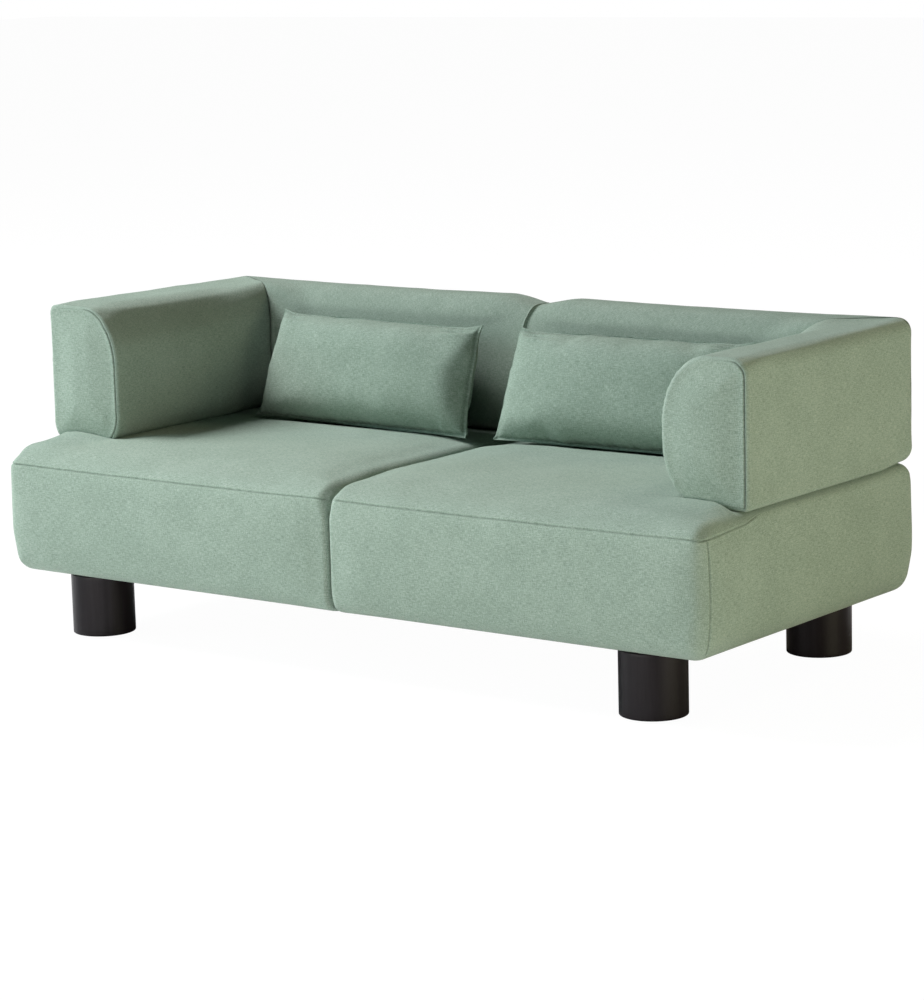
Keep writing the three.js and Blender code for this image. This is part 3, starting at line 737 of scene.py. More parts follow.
# %% [markdown]
# ## Lumbar cushions
#
# A lumbar cushion is two panels sewn edge to edge and stuffed. Its lens shape comes from the filling, so
# it is simulated: two flat panels are cut with slightly bowed edges, joined by a narrow edge strip, and
# blown up until they are as thick as the cushion. The simulation stops while the cloth still moves,
# because that is where the thickness is right. It leaves deeper buckles than soft wadding would, so the
# result is evened out towards a computed stuffed shape, and its edges are drawn straight. The strip
# then becomes the knife-edge seam, and the gathers and corner folds are added as small relief.

# %% Cutting and filling one cushion
CUSHION_THICK = 136.0
CUSHION_LEAN = math.radians(19)
STRIP = 2.5
PANEL_WIDTH = 624.0
PANEL_HEIGHT = 268.0
LIP_BEHIND = 41.5
MOST_STEPS = 40


def panel_cut(rest, width, height):
    """The flat panels, bowed between the corners and a little narrower at the top."""
    u = rest[:, 0] / (width / 2)
    v = rest[:, 2] / (height / 2) - 1
    x = rest[:, 0] * (1 - 0.052 * (v + 1) / 2) * (1 + 0.035 * (1 - v**2))
    z = height / 2 * (1 + v * (1 + 0.115 * (1 - u**4)))
    puff = 1 + 7 * (1 - u**4) * (1 - v**2)
    return np.stack([x, rest[:, 1] * puff, z], 1)


def lens(rest, width, height):
    flat = panel_cut(rest, width, height)
    u = np.clip(np.abs(rest[:, 0]) / (width / 2), 0, 1)
    v = np.clip(np.abs(rest[:, 2] / (height / 2) - 1), 0, 1)
    swelling = ((1 - u**3.2) * (1 - v**2.1)) ** 0.62
    y = np.sign(rest[:, 1]) * CUSHION_THICK / 2 * swelling + 0.2 * rest[:, 1]
    z = height / 2 + (flat[:, 2] - height / 2) * (1 - 0.125 * (1 - u**3))
    return np.stack([flat[:, 0] * (1 - 0.05 * (1 - v**3)), y, z], 1)


def fill_cushion(name, lattice, width, height, seed):
    """Places of a cushion's points after it is stuffed."""
    start = panel_cut(lattice.rest, width, height)
    start = start + np.random.default_rng(seed).normal(size=start.shape) * 0.2
    obj = mesh_object(name, start, lattice.quads)
    fabric = blow_up(obj, stiffness=22, shear=7, bending=0.8, quality=6, pressure=3.0, frames=MOST_STEPS)
    fabric.air_damping = 2
    scene = bpy.context.scene
    middle = np.abs(start[:, 0]) < 0.12 * width
    middle = middle & (np.abs(start[:, 2] - height / 2) < 0.12 * height)
    for number in range(1, MOST_STEPS + 1):
        scene.frame_set(number)
        places = simulated_places(obj)
        thick = np.ptp(places[middle, 1])
        if thick >= CUSHION_THICK:
            break
    print(name, "is", round(float(thick)), "mm thick after", number, "steps")
    bpy.data.objects.remove(obj, do_unlink=True)
    scene.frame_set(1)
    # The simulation's difference from the computed shape is evened out, which takes out deep buckles.
    even = lens(lattice.rest, width, height)
    return even + calm(places - even, lattice.quads, 10)


# %% Shaping, placing and sewing it
def edge_rows(low, high, step):
    """Rows that are close together near both ends, for the knife edge."""
    inner = rows(low + 9, high - 9, step)
    near = np.array([0, 1.2, 2.6, 4.4, 6.6])
    return np.concatenate([low + near, inner, high - near[::-1]])


def folds_of(rest, width, height):
    """A small fold that runs in from each upper corner, and short ones across the ends."""
    x, z = np.abs(rest[:, 0]), rest[:, 2]
    front = rest[:, 1] < 0
    down, across = height - z, width / 2 - x
    corner = np.exp(-(((down - 9 - 0.12 * across) / 5) ** 2)) * np.exp(-(((across - 55) / 38) ** 2))
    lift = np.exp(-(((down - 20 - 0.16 * across) / 7) ** 2)) * np.exp(-(((across - 60) / 40) ** 2))
    ends = np.sin(z / 7.5 + 1.3 * np.sin(z / 31)) * np.exp(-across / 17) * np.clip(across / 8, 0, 1)
    ends = ends * between(z, 10, 60) * between(down, 10, 60)
    return front * (4.0 * lift - 5.5 * corner) + 1.1 * ends


def straighten(places, fine, width, height):
    """Draws the long edges straight between the corners, and leaves the corners as short ears."""
    rest = fine.rest
    middle_row = np.abs(rest[:, 1]) < 0.1
    u = np.abs(rest[:, 0]) / (width / 2)
    for on_edge, way, ear in ((fine.on(2, 1), 1, 9.0), (fine.on(2, 0), -1, 3.0)):
        line = on_edge & middle_row
        order = np.argsort(rest[line, 0])
        place, now = rest[line, 0][order], places[line, 2][order]
        level = np.median(now[np.abs(place) < 0.3 * width])
        wanted = level + way * ear * np.clip((u - 0.84) / 0.16, 0, 1) ** 1.5
        share = np.clip(way * (rest[:, 2] / (height / 2) - 1), 0, 1)
        places[:, 2] += (wanted - np.interp(rest[:, 0], place, now)) * share
    v = rest[:, 2] / (height / 2) - 1
    for on_edge, way in ((fine.on(0, 1), 1), (fine.on(0, 0), -1)):
        line = on_edge & middle_row
        order = np.argsort(rest[line, 2])
        place, now = v[line][order], places[line, 0][order]
        even = np.polyfit(place, now, 2)
        wanted = np.polyval(even, v) + way * 4.0 * np.clip((np.abs(v) - 0.8) / 0.2, 0, 1) ** 1.5
        share = np.clip(way * rest[:, 0] / (width / 2), 0, 1) ** 3
        places[:, 0] += (wanted - np.interp(v, place, now)) * share
    return places


PINCH = 5.0


def knife_edge(places, fine, width, height, seed):
    """Pinches the cloth beside the seam, lets the seam stand out as a lip, and gathers the cloth."""
    out = normals_of(places, fine.quads)
    rest = fine.rest
    to_end = width / 2 - np.abs(rest[:, 0])
    to_side = np.minimum(rest[:, 2], height - rest[:, 2])
    edge = np.minimum(to_end, to_side)
    along = np.where(to_end < to_side, rest[:, 2] + 700, rest[:, 0])
    bottom = np.exp(-((rest[:, 2] / 60) ** 2))
    here = np.stack([along, 0 * along, np.sign(rest[:, 1]) * 40], 1)
    gathers = 0.9 * waves(here, 13, seed, 9) * np.exp(-edge / 14) * np.clip(edge / 6, 0, 1)
    gathers += 0.5 * waves(here, 30, seed + 1) * np.exp(-edge / 30) * np.clip(edge / 12, 0, 1)
    pinch = -1.5 * np.exp(-(((edge - PINCH) / 2.2) ** 2))
    lip = 2.2 * np.exp(-((edge / 1.8) ** 2))
    relief = gathers * (0.75 + 0.9 * bottom) + pinch + folds_of(rest, width, height)
    relief = relief + 0.35 * waves(places, 60, seed + 2)
    places = places + out * relief[:, None]
    # The spare cloth of the seam stands out from it, most of all along the bottom.
    away = np.stack([np.sign(rest[:, 0]) * (to_end < 8), 0 * edge, np.sign(rest[:, 2] - height / 2)], 1)
    away[:, 2] *= to_side < 8
    away[:, 1] = -1.3 * (rest[:, 2] < 8)
    return places + away * (lip * (0.6 + 1.1 * bottom))[:, None]


def cushion_piece(side_name, seed):
    """One stuffed cushion in its place, with the numbers that carry it there."""
    node = "cushion_cover_" + side_name
    low, high = box_mm(node)
    pull = next(joint for joint in frame["joints"] if joint["name"] == "zip_" + side_name + "_pull")
    turn = math.atan2(pull["axis"][1], pull["axis"][0])
    width, height = PANEL_WIDTH, PANEL_HEIGHT
    strip = np.array([-STRIP, 0, STRIP])
    coarse = Lattice(rows(-width / 2, width / 2, 9), strip, rows(0, height, 9))
    filled = fill_cushion(node, coarse, width, height, seed)
    fine = Lattice(edge_rows(-width / 2, width / 2, 4.5), strip, edge_rows(0, height, 4.5))
    places = straighten(carry(coarse, filled, fine), fine, width, height)
    places = knife_edge(places, fine, width, height, seed + 5)
    lip = fine.on(2, 0) & (np.abs(fine.rest[:, 1]) < 0.1) & (np.abs(fine.rest[:, 0]) < 200)
    places = places - places[lip].mean(0)
    lean = np.array(Matrix.Rotation(-CUSHION_LEAN, 3, "X"))
    swing = np.array(Matrix.Rotation(turn, 3, "Z"))
    places = places @ (swing @ lean).T
    places[:, 0] += (low[0] + high[0]) / 2
    behind = LIP_BEHIND + abs(math.sin(turn)) * width / 2
    places[:, 1] += low[1] + behind
    places[:, 2] += low[2] + 3.0
    seat = low[2] - 1.0
    print("rear face at y", round(places[:, 1].max(), 1), "of", high[1])
    print("ends at x", round(places[:, 0].min(), 1), round(places[:, 0].max(), 1))
    # The seat flattens the underside where the cushion rests on it.
    lifted = places[:, 2] - seat
    places[:, 2] = seat + np.where(lifted > 6, lifted, 6 * np.exp((lifted - 6) / 6))
    to_side = np.minimum(fine.rest[:, 2], height - fine.rest[:, 2])
    edge = np.minimum(width / 2 - np.abs(fine.rest[:, 0]), to_side)
    # Painted shade: the cloth's colour is darkened in the pinch beside the knife-edge seam.
    seam_shade = 0.45 * in_seam((edge - PINCH) / 1.2)
    obj = mesh_object("cushion_" + side_name + "_stuffed", places, fine.quads, fine.uvs, seam_shade)
    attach(obj, "cushion_" + side_name)
    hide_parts(node, "cushion_insert_" + side_name)
    size = np.ptp(places, axis=0)
    print(obj.name, len(places), "points,", size.round(), "mm")
    return obj, fine, places


cushions = {name: cushion_piece(name, 900 + 7 * n) for n, name in enumerate(("left", "right"))}

# %% [markdown]
# ## Finishes: small tools
#
# Every finish is a tree of nodes. `add` puts one node in a tree and links or sets its inputs by name,
# which keeps each recipe short enough to read. An effect that more than one finish uses is a group with
# its own inputs and outputs, and gets different values in each material.

# %% Node tools
def add(tree, kind, inputs=None, **settings):
    """Adds a node. An input may be a number, a colour or another node's output."""
    node = tree.nodes.new(kind)
    for name, value in settings.items():
        setattr(node, name, value)
    for name, value in (inputs or {}).items():
        socket = node.inputs[name]
        if isinstance(value, bpy.types.NodeSocket):
            tree.links.new(value, socket)
        else:
            socket.default_value = value
    return node


def maths(tree, operation, a, b=0.0):
    return add(tree, "ShaderNodeMath", {0: a, 1: b}, operation=operation).outputs[0]


def noise(tree, place, scale, stretch=(1, 1, 1), detail=3.0, roughness=0.55):
    """Noise with about `scale` bumps a metre, made longer along an axis by a small stretch number."""
    mapping = add(tree, "ShaderNodeMapping", {"Vector": place, "Scale": stretch})
    made = add(
        tree,
        "ShaderNodeTexNoise",
        {"Vector": mapping.outputs[0], "Scale": scale, "Detail": detail, "Roughness": roughness},
    )
    return made.outputs["Fac"]


def mix(tree, amount, a, b, blend="MIX"):
    node = add(tree, "ShaderNodeMix", {0: amount, 6: a, 7: b}, data_type="RGBA", blend_type=blend)
    return node.outputs[2]


def remap(tree, value, low, high, new_low=0.0, new_high=1.0):
    inputs = {0: value, 1: low, 2: high, 3: new_low, 4: new_high}
    return add(tree, "ShaderNodeMapRange", inputs).outputs[0]


def new_group(name, inputs, outputs):
    """A shader node group with named inputs {name: default} and outputs {name: kind}."""
    tree = bpy.data.node_groups.new(name, "ShaderNodeTree")
    kinds = {float: "NodeSocketFloat", tuple: "NodeSocketColor"}
    for label, default in inputs.items():
        kind = "NodeSocketVector" if default is None else kinds[type(default)]
        socket = tree.interface.new_socket(label, in_out="INPUT", socket_type=kind)
        if default is not None:
            socket.default_value = default
    for label, kind in outputs.items():
        tree.interface.new_socket(label, in_out="OUTPUT", socket_type="NodeSocket" + kind)
    return tree, add(tree, "NodeGroupInput").outputs, add(tree, "NodeGroupOutput").inputs


def place_group(tree, group, inputs):
    """Puts a group in a material, with its own values."""
    return add(tree, "ShaderNodeGroup", inputs, node_tree=group).outputs


def new_finish(name, **constants):
    """A material, its tree, its Principled BSDF with these constants set, and the coordinates."""
    material = bpy.data.materials.new(name)
    material.use_nodes = True
    tree = material.node_tree
    shader = tree.nodes["Principled BSDF"]
    for label, value in constants.items():
        shader.inputs[label.replace("_", " ")].default_value = value
    coordinates = add(tree, "ShaderNodeTexCoord").outputs
    return material, tree, shader, coordinates


def raise_surface(tree, shader, height, distance, strength=1.0):
    """Feeds a height to the shader through a Bump node. The distance is in metres."""
    bump = add(tree, "ShaderNodeBump", {"Height": height, "Distance": distance, "Strength": strength})
    tree.links.new(bump.outputs[0], shader.inputs["Normal"])


# %% [markdown]
# ## Woven cloth
#
# The upholstery is a melange weave: pale, mid and dark fibres are spun together before weaving, so each
# thread changes colour every few millimetres, and the cloth looks grey-green only from a distance. The
# group draws two sets of threads that pass over and under each other, gives each thread its own
# flecks, and adds slow changes of tone where the pile lies differently. It reads the panels' own UV
# map, which is in metres, so the threads run straight along every panel.

# %% The weave group
weave, given, result = new_group(
    "woven_cloth",
    {
        "Cloth": None,
        "Place": None,
        "Threads per metre": 520.0,
        "Base": (0.3, 0.4, 0.3, 1.0),
        "Pale": (0.4, 0.5, 0.4, 1.0),
        "Dark": (0.1, 0.2, 0.1, 1.0),
        "Flecks": 0.5,
        "Mottle": 0.3,
    },
    {"Color": "Color", "Height": "Float", "Roughness": "Float"},
)
threads = given["Threads per metre"]
scaled = add(weave, "ShaderNodeVectorMath", {0: given["Cloth"]}, operation="SCALE")
weave.links.new(threads, scaled.inputs["Scale"])
split = add(weave, "ShaderNodeSeparateXYZ", {0: scaled.outputs[0]}).outputs
across = maths(weave, "SINE", maths(weave, "MULTIPLY", split[0], math.pi))
along = maths(weave, "SINE", maths(weave, "MULTIPLY", split[1], math.pi))
crossing = maths(weave, "MULTIPLY", across, along)
weft = noise(weave, scaled.outputs[0], 1.0, (0.13, 0.9, 1), 2.0, 0.7)
warp = noise(weave, scaled.outputs[0], 1.0, (0.9, 0.2, 1), 2.0, 0.7)
over = remap(weave, crossing, -0.25, 0.25)
upper = maths(weave, "MULTIPLY", weft, over)
lower = maths(weave, "MULTIPLY", warp, maths(weave, "SUBTRACT", 1.0, over))
fibre = maths(weave, "ADD", upper, lower)
pale_mask = maths(weave, "MULTIPLY", remap(weave, fibre, 0.5, 0.62), given["Flecks"])
dark_mask = maths(weave, "MULTIPLY", remap(weave, fibre, 0.46, 0.32), given["Flecks"])
colour = mix(weave, pale_mask, given["Base"], given["Pale"])
colour = mix(weave, dark_mask, colour, given["Dark"])
raised = maths(weave, "ABSOLUTE", crossing)
# Painted shade: the colour is darkened in the gaps between the threads, where the weave is lowest.
thread_gap_shade = maths(weave, "MULTIPLY", remap(weave, raised, 0.35, 0.0), 0.22)
colour = mix(weave, thread_gap_shade, colour, given["Dark"])
cloudy = noise(weave, given["Place"], 9.0, detail=4.0)
patchy = noise(weave, given["Place"], 45.0, detail=3.0)
cloudy = maths(weave, "MULTIPLY", cloudy, 0.6)
tone = maths(weave, "ADD", cloudy, maths(weave, "MULTIPLY", patchy, 0.4))
darker = maths(weave, "MULTIPLY", remap(weave, tone, 0.55, 0.38), given["Mottle"])
paler = maths(weave, "MULTIPLY", remap(weave, tone, 0.5, 0.66), given["Mottle"])
colour = mix(weave, darker, colour, given["Dark"])
colour = mix(weave, paler, colour, given["Pale"])
weave.links.new(colour, result["Color"])
bulk = maths(weave, "ADD", maths(weave, "MULTIPLY", raised, 0.6), fibre)
weave.links.new(bulk, result["Height"])
weave.links.new(remap(weave, fibre, 0.3, 0.7, 0.98, 0.84), result["Roughness"])
print("weave group:", len(weave.nodes), "nodes")


# %% Melange finish for the sofa and the cushions
def melange(name, base, pale, dark):
    material, tree, shader, at = new_finish(
        name,
        Sheen_Weight=0.22,
        Sheen_Roughness=0.45,
        Sheen_Tint=(0.78, 0.86, 0.78, 1),
        Specular_IOR_Level=0.25,
    )
    cloth = place_group(
        tree,
        weave,
        {
            "Cloth": at["UV"],
            "Place": at["Object"],
            "Threads per metre": 620.0,
            "Base": base,
            "Pale": pale,
            "Dark": dark,
            "Flecks": 0.8,
            "Mottle": 0.12,
        },
    )
    # Painted shade: in the bottom of each seam, the colour is darkened towards a deep tone of the dark
    # fibre.
    seam_shade_amount = add(tree, "ShaderNodeAttribute", attribute_name="seam_shade").outputs["Fac"]
    shade = tuple(0.3 * value for value in dark[:3]) + (1.0,)
    colour = mix(tree, maths(tree, "MULTIPLY", seam_shade_amount, 0.75), cloth["Color"], shade)
    tree.links.new(colour, shader.inputs["Base Color"])
    tree.links.new(cloth["Roughness"], shader.inputs["Roughness"])
    raise_surface(tree, shader, cloth["Height"], 0.0007, 0.55)
    return material


# One cloth in three tones. The back's and the cushions' copies are darker than the base's: painted shade,
# standing in for the light those faces miss in this studio.
sofa_fabric = melange(
    "sofa_melange", (0.272, 0.358, 0.29, 1), (0.42, 0.515, 0.44, 1), (0.12, 0.185, 0.135, 1)
)
shaded_back_fabric = melange(
    "back_melange", (0.222, 0.294, 0.237, 1), (0.35, 0.43, 0.365, 1), (0.1, 0.155, 0.113, 1)
)
cushion_fabric = melange(
    "cushion_melange", (0.222, 0.302, 0.241, 1), (0.36, 0.45, 0.383, 1), (0.1, 0.158, 0.113, 1)
)
for key, (obj, *_) in upholstery.items():
    obj.data.materials.append(shaded_back_fabric if key.startswith("back") else sofa_fabric)
for obj, *_ in cushions.values():
    obj.data.materials.append(cushion_fabric)

# %% [markdown]
# ## Wood, foam and metal
#
# The legs are turned posts, stained almost black and given a satin lacquer, under which the grain still
# shows as faint upright streaks. The inner frame is pine and birch plywood, the filling is foam and
# wadding, and the fittings are zinc-plated steel and nylon. Most of that is hidden on a finished sofa,
# but each material still has a finish of its own.

# %% Grain and speckle groups
grain, given, result = new_group(
    "wood_grain",
    {
        "Place": None,
        "Lines per metre": 60.0,
        "Light": (0.7, 0.5, 0.3, 1.0),
        "Dark": (0.5, 0.3, 0.2, 1.0),
    },
    {"Color": "Color", "Height": "Float", "Roughness": "Float"},
)
sized = add(grain, "ShaderNodeVectorMath", {0: given["Place"]}, operation="SCALE")
grain.links.new(given["Lines per metre"], sized.inputs["Scale"])
streaks = noise(grain, sized.outputs[0], 1.0, (1, 1, 0.06), 4.0, 0.6)
pores = noise(grain, sized.outputs[0], 6.0, (1, 1, 0.05), 2.0, 0.7)
streaks = maths(grain, "MULTIPLY", streaks, 0.7)
figure = maths(grain, "ADD", streaks, maths(grain, "MULTIPLY", pores, 0.3))
colour = mix(grain, remap(grain, figure, 0.36, 0.66), given["Dark"], given["Light"])
grain.links.new(colour, result["Color"])
grain.links.new(figure, result["Height"])
grain.links.new(remap(grain, figure, 0.35, 0.65, 0.1, -0.06), result["Roughness"])

speckle, given, result = new_group(
    "speckle",
    {
        "Place": None,
        "Grains per metre": 300.0,
        "Main": (0.5, 0.5, 0.5, 1.0),
        "Other": (0.4, 0.4, 0.4, 1.0),
        "Amount": 0.5,
    },
    {"Color": "Color", "Height": "Float", "Mask": "Float"},
)
sized = add(speckle, "ShaderNodeVectorMath", {0: given["Place"]}, operation="SCALE")
speckle.links.new(given["Grains per metre"], sized.inputs["Scale"])
cells = add(speckle, "ShaderNodeTexVoronoi", {"Vector": sized.outputs[0], "Scale": 1.0})
cells = cells.outputs["Distance"]
soft = noise(speckle, sized.outputs[0], 0.35)
speckled = maths(speckle, "MULTIPLY", remap(speckle, cells, 0.2, 0.7), soft)
mask = maths(speckle, "MULTIPLY", remap(speckle, speckled, 0.15, 0.5), given["Amount"])
speckle.links.new(mix(speckle, mask, given["Main"], given["Other"]), result["Color"])
speckle.links.new(speckled, result["Height"])
speckle.links.new(mask, result["Mask"])


# %% The other finishes
def wooden(name, light, dark, lines, roughness, along_x=False, **constants):
    material, tree, shader, at = new_finish(name, **constants)
    turned = add(tree, "ShaderNodeMapping", {"Vector": at["Object"]})
    if along_x:
        turned.inputs["Rotation"].default_value = (0, math.pi / 2, 0)
    drawn = place_group(
        tree, grain, {"Place": turned.outputs[0], "Lines per metre": lines, "Light": light, "Dark": dark}
    )
    tree.links.new(drawn["Color"], shader.inputs["Base Color"])
    rough = maths(tree, "ADD", drawn["Roughness"], roughness)
    tree.links.new(rough, shader.inputs["Roughness"])
    raise_surface(tree, shader, drawn["Height"], 0.0002, 0.35)
    return material


def grainy(name, main, other, grains, amount, roughness, depth=0.0005, **constants):
    material, tree, shader, at = new_finish(name, **constants)
    inputs = {"Place": at["Object"], "Grains per metre": grains, "Amount": amount}
    drawn = place_group(tree, speckle, {**inputs, "Main": main, "Other": other})
    tree.links.new(drawn["Color"], shader.inputs["Base Color"])
    rough = remap(tree, drawn["Mask"], 0.0, 1.0, roughness, min(roughness + 0.12, 1.0))
    tree.links.new(rough, shader.inputs["Roughness"])
    raise_surface(tree, shader, drawn["Height"], depth, 0.6)
    return material


finishes = {
    "leg_wood": wooden(
        "stained_leg_wood", (0.010, 0.007, 0.009, 1), (0.005, 0.003, 0.004, 1), lines=90.0, roughness=0.34,
        Specular_IOR_Level=0.2, Coat_Weight=0.04, Coat_Roughness=0.25,
    ),
    "frame_pine": wooden(
        "frame_pine", (0.62, 0.44, 0.24, 1), (0.42, 0.26, 0.12, 1), lines=45.0, roughness=0.7, along_x=True
    ),
    "plywood": wooden(
        "birch_plywood", (0.55, 0.4, 0.23, 1), (0.36, 0.23, 0.12, 1),
        lines=120.0, roughness=0.62, along_x=True,
    ),
    "foam": grainy("cut_foam", (0.72, 0.62, 0.36, 1), (0.5, 0.4, 0.2, 1), 420.0, 0.6, 0.95, depth=0.001),
    "wadding": grainy("wadding", (0.8, 0.79, 0.75, 1), (0.6, 0.59, 0.55, 1), 160.0, 0.4, 0.97, depth=0.002),
    "webbing": grainy("elastic_webbing", (0.03, 0.025, 0.02, 1), (0.09, 0.075, 0.06, 1), 700.0, 0.7, 0.8),
    "dust_cloth": grainy(
        "dust_cloth", (0.012, 0.012, 0.013, 1), (0.035, 0.035, 0.037, 1), 900.0, 0.7, 0.9
    ),
    "steel": grainy(
        "zinc_plated_steel", (0.55, 0.55, 0.57, 1), (0.42, 0.42, 0.45, 1), 250.0, 0.6, 0.3,
        depth=0.0002, Metallic=1.0,
    ),
    "glide_nylon": grainy(
        "moulded_nylon", (0.6, 0.57, 0.5, 1), (0.5, 0.47, 0.41, 1), 500.0, 0.5, 0.5, depth=0.0002
    ),
    "zip_tape": grainy(
        "zip_coil", (0.11, 0.15, 0.12, 1), (0.2, 0.25, 0.2, 1), 900.0, 0.7, 0.5, depth=0.0003
    ),
}
for name, obj in frame["nodes"].items():
    for slot_number, material in enumerate(obj.data.materials):
        finish_name = material.name.split(".")[0]
        if finish_name in finishes:
            obj.data.materials[slot_number] = finishes[finish_name]
        elif finish_name not in ("sofa_fabric", "cushion_fabric"):
            print("no finish for", name, finish_name)
print(len(finishes) + 2, "finishes")

# %% [markdown]
# ## Stitches
#
# A stitch is a few millimetres of thread, repeated thousands of times along each seam. That is work
# for Geometry Nodes: the tree walks along a line, puts one small rounded piece every few millimetres,
# turns it along the line and out from the cloth, and gives it its material. The lines are taken from
# the rows of each cover's lattice beside its seams. The result is turned into one plain mesh.

# %% The tree that repeats a small part along a line
def build_row_tree():
    tree = bpy.data.node_groups.new("row_of_small_parts", "GeometryNodeTree")
    face = tree.interface
    face.new_socket("Geometry", in_out="INPUT", socket_type="NodeSocketGeometry")
    for label in ("Pitch", "Length", "Width", "Height"):
        face.new_socket(label, in_out="INPUT", socket_type="NodeSocketFloat")
    face.new_socket("Seed", in_out="INPUT", socket_type="NodeSocketInt")
    face.new_socket("Finish", in_out="INPUT", socket_type="NodeSocketMaterial")
    face.new_socket("Geometry", in_out="OUTPUT", socket_type="NodeSocketGeometry")
    given = add(tree, "NodeGroupInput").outputs
    line = add(tree, "GeometryNodeMeshToCurve", {"Mesh": given["Geometry"]}).outputs[0]
    stops = add(
        tree, "GeometryNodeResampleCurve", {"Curve": line, "Length": given["Pitch"]}, mode="LENGTH"
    )
    one = add(tree, "GeometryNodeMeshUVSphere", {"Segments": 6, "Rings": 4, "Radius": 0.5})
    outward = add(
        tree, "GeometryNodeInputNamedAttribute", {"Name": "outward"}, data_type="FLOAT_VECTOR"
    )
    tangent = add(tree, "GeometryNodeInputTangent").outputs[0]
    turn = add(
        tree,
        "FunctionNodeAxesToRotation",
        {"Primary Axis": outward.outputs["Attribute"], "Secondary Axis": tangent},
        primary_axis="Z",
        secondary_axis="X",
    )
    uneven = add(
        tree, "FunctionNodeRandomValue", {2: 0.85, 3: 1.15, "Seed": given["Seed"]}, data_type="FLOAT"
    )
    long = maths(tree, "MULTIPLY", given["Length"], uneven.outputs[1])
    size = add(tree, "ShaderNodeCombineXYZ", {0: long, 1: given["Width"], 2: given["Height"]}).outputs[0]
    placed = add(
        tree,
        "GeometryNodeInstanceOnPoints",
        {
            "Points": stops.outputs[0],
            "Instance": one.outputs["Mesh"],
            "Rotation": turn.outputs[0],
            "Scale": size,
        },
    )
    real = add(tree, "GeometryNodeRealizeInstances", {0: placed.outputs[0]}).outputs[0]
    done = add(tree, "GeometryNodeSetMaterial", {"Geometry": real, "Material": given["Finish"]}).outputs[0]
    tree.links.new(done, add(tree, "NodeGroupOutput").inputs[0])
    return tree


row_tree = build_row_tree()
FACES_PER_PART = 24


def row_of_parts(name, lines, pitch, length, width, height, seed, finish):
    """A mesh of small parts along lines. Each line is (points, outward directions), in millimetres."""
    mesh = bpy.data.meshes.new(name + "_lines")
    starts = np.cumsum([0] + [len(points) for points, _ in lines])
    edges = [(n, n + 1) for a, b in zip(starts[:-1], starts[1:]) for n in range(a, b - 1)]
    points = np.concatenate([points for points, _ in lines]) * MM
    mesh.from_pydata(points.tolist(), edges, [])
    outward = mesh.attributes.new("outward", "FLOAT_VECTOR", "POINT")
    outward.data.foreach_set("vector", np.concatenate([out for _, out in lines]).ravel())
    obj = linked(name + "_lines", mesh)
    modifier = obj.modifiers.new("row", "NODES")
    modifier.node_group = row_tree
    values = {
        "Pitch": pitch * MM,
        "Length": length * MM,
        "Width": width * MM,
        "Height": height * MM,
        "Seed": seed,
        "Finish": finish,
    }
    for socket in row_tree.interface.items_tree:
        if socket.in_out == "INPUT" and socket.name in values:
            modifier[socket.identifier] = values[socket.name]
    evaluated = obj.evaluated_get(bpy.context.evaluated_depsgraph_get())
    plain = bpy.data.meshes.new_from_object(evaluated)
    bpy.data.objects.remove(obj, do_unlink=True)
    plain.shade_smooth()
    print(name, "has", len(plain.polygons) // FACES_PER_PART, "parts")
    return linked(name, plain)


# %% Stitch lines beside the seams
def nearest_row(axis, place):
    return int(np.argmin(np.abs(axis - place)))


stitch_lines = []


def stitch_along(key, ids, sink=0.15):
    _, _, places, outward = upholstery[key]
    ids = np.array(ids)
    flip = -1.0 if np.sum(outward[ids] * (places[ids] - places.mean(0))) < 0 else 1.0
    stitch_lines.append((places[ids] - flip * outward[ids] * sink, flip * outward[ids]))


for side_name in ("left", "right"):
    key = "base_" + side_name
    lattice = upholstery[key][1]
    _, ys, zs = lattice.axes
    front, outer, inner = lattice.side(1, 0), lattice.side(0, 1), lattice.side(0, 0)
    last = nearest_row(ys, FRONT + 205)
    for offset in (-5.0, 5.0):
        k = nearest_row(zs, TOP_SEAM + offset)
        stitch_along(key, list(front[3:, k]) + list(outer[1:last, k]))
        j = nearest_row(ys, CORNER_SEAM + offset)
        upto = nearest_row(zs, TOP_SEAM - 7)
        stitch_along(key, outer[j, 2:upto])
        stitch_along(key, inner[j, 2:upto])
    for kind, seams in (("arm", [END_SEAM]), ("back", [BACK_SEAM - 4, BACK_SEAM + 4])):
        key = kind + "_" + side_name
        lattice = upholstery[key][1]
        _, shares, zs = lattice.axes
        full = (REAR - ARM_FRONT) if kind == "arm" else (SIDE - SPLIT)
        for place in seams:
            j = nearest_row(shares * full, place)
            up = lattice.side(0, 1)[j, 1:]
            over = lattice.side(2, 1)[::-1, j][1:]
            down = lattice.side(0, 0)[j, ::-1][1:-1]
            stitch_along(key, list(up) + list(over) + list(down))
        if kind == "back":
            # One row of topstitch beside the mitre, on the inner face.
            j = nearest_row(shares * full, full - 12)
            low_row, high_row = nearest_row(zs, 430), nearest_row(zs, 640)
            stitch_along(key, lattice.side(0, 1)[j, low_row:high_row])

thread = grainy("sewing_thread", (0.3, 0.4, 0.31, 1), (0.4, 0.5, 0.41, 1), 900.0, 0.7, 0.7, depth=0.0001)
stitches = row_of_parts(
    "stitches", stitch_lines, pitch=5.6, length=4.2, width=1.3, height=1.1, seed=7, finish=thread
)
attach(stitches, "sofa")

# %% [markdown]
# ## Zips
#
# The zip of each cushion lies under its bottom edge, out of sight. Its tape stays as the frame has it.
# The coil is a row of small teeth, which the same tree repeats as the stitches.

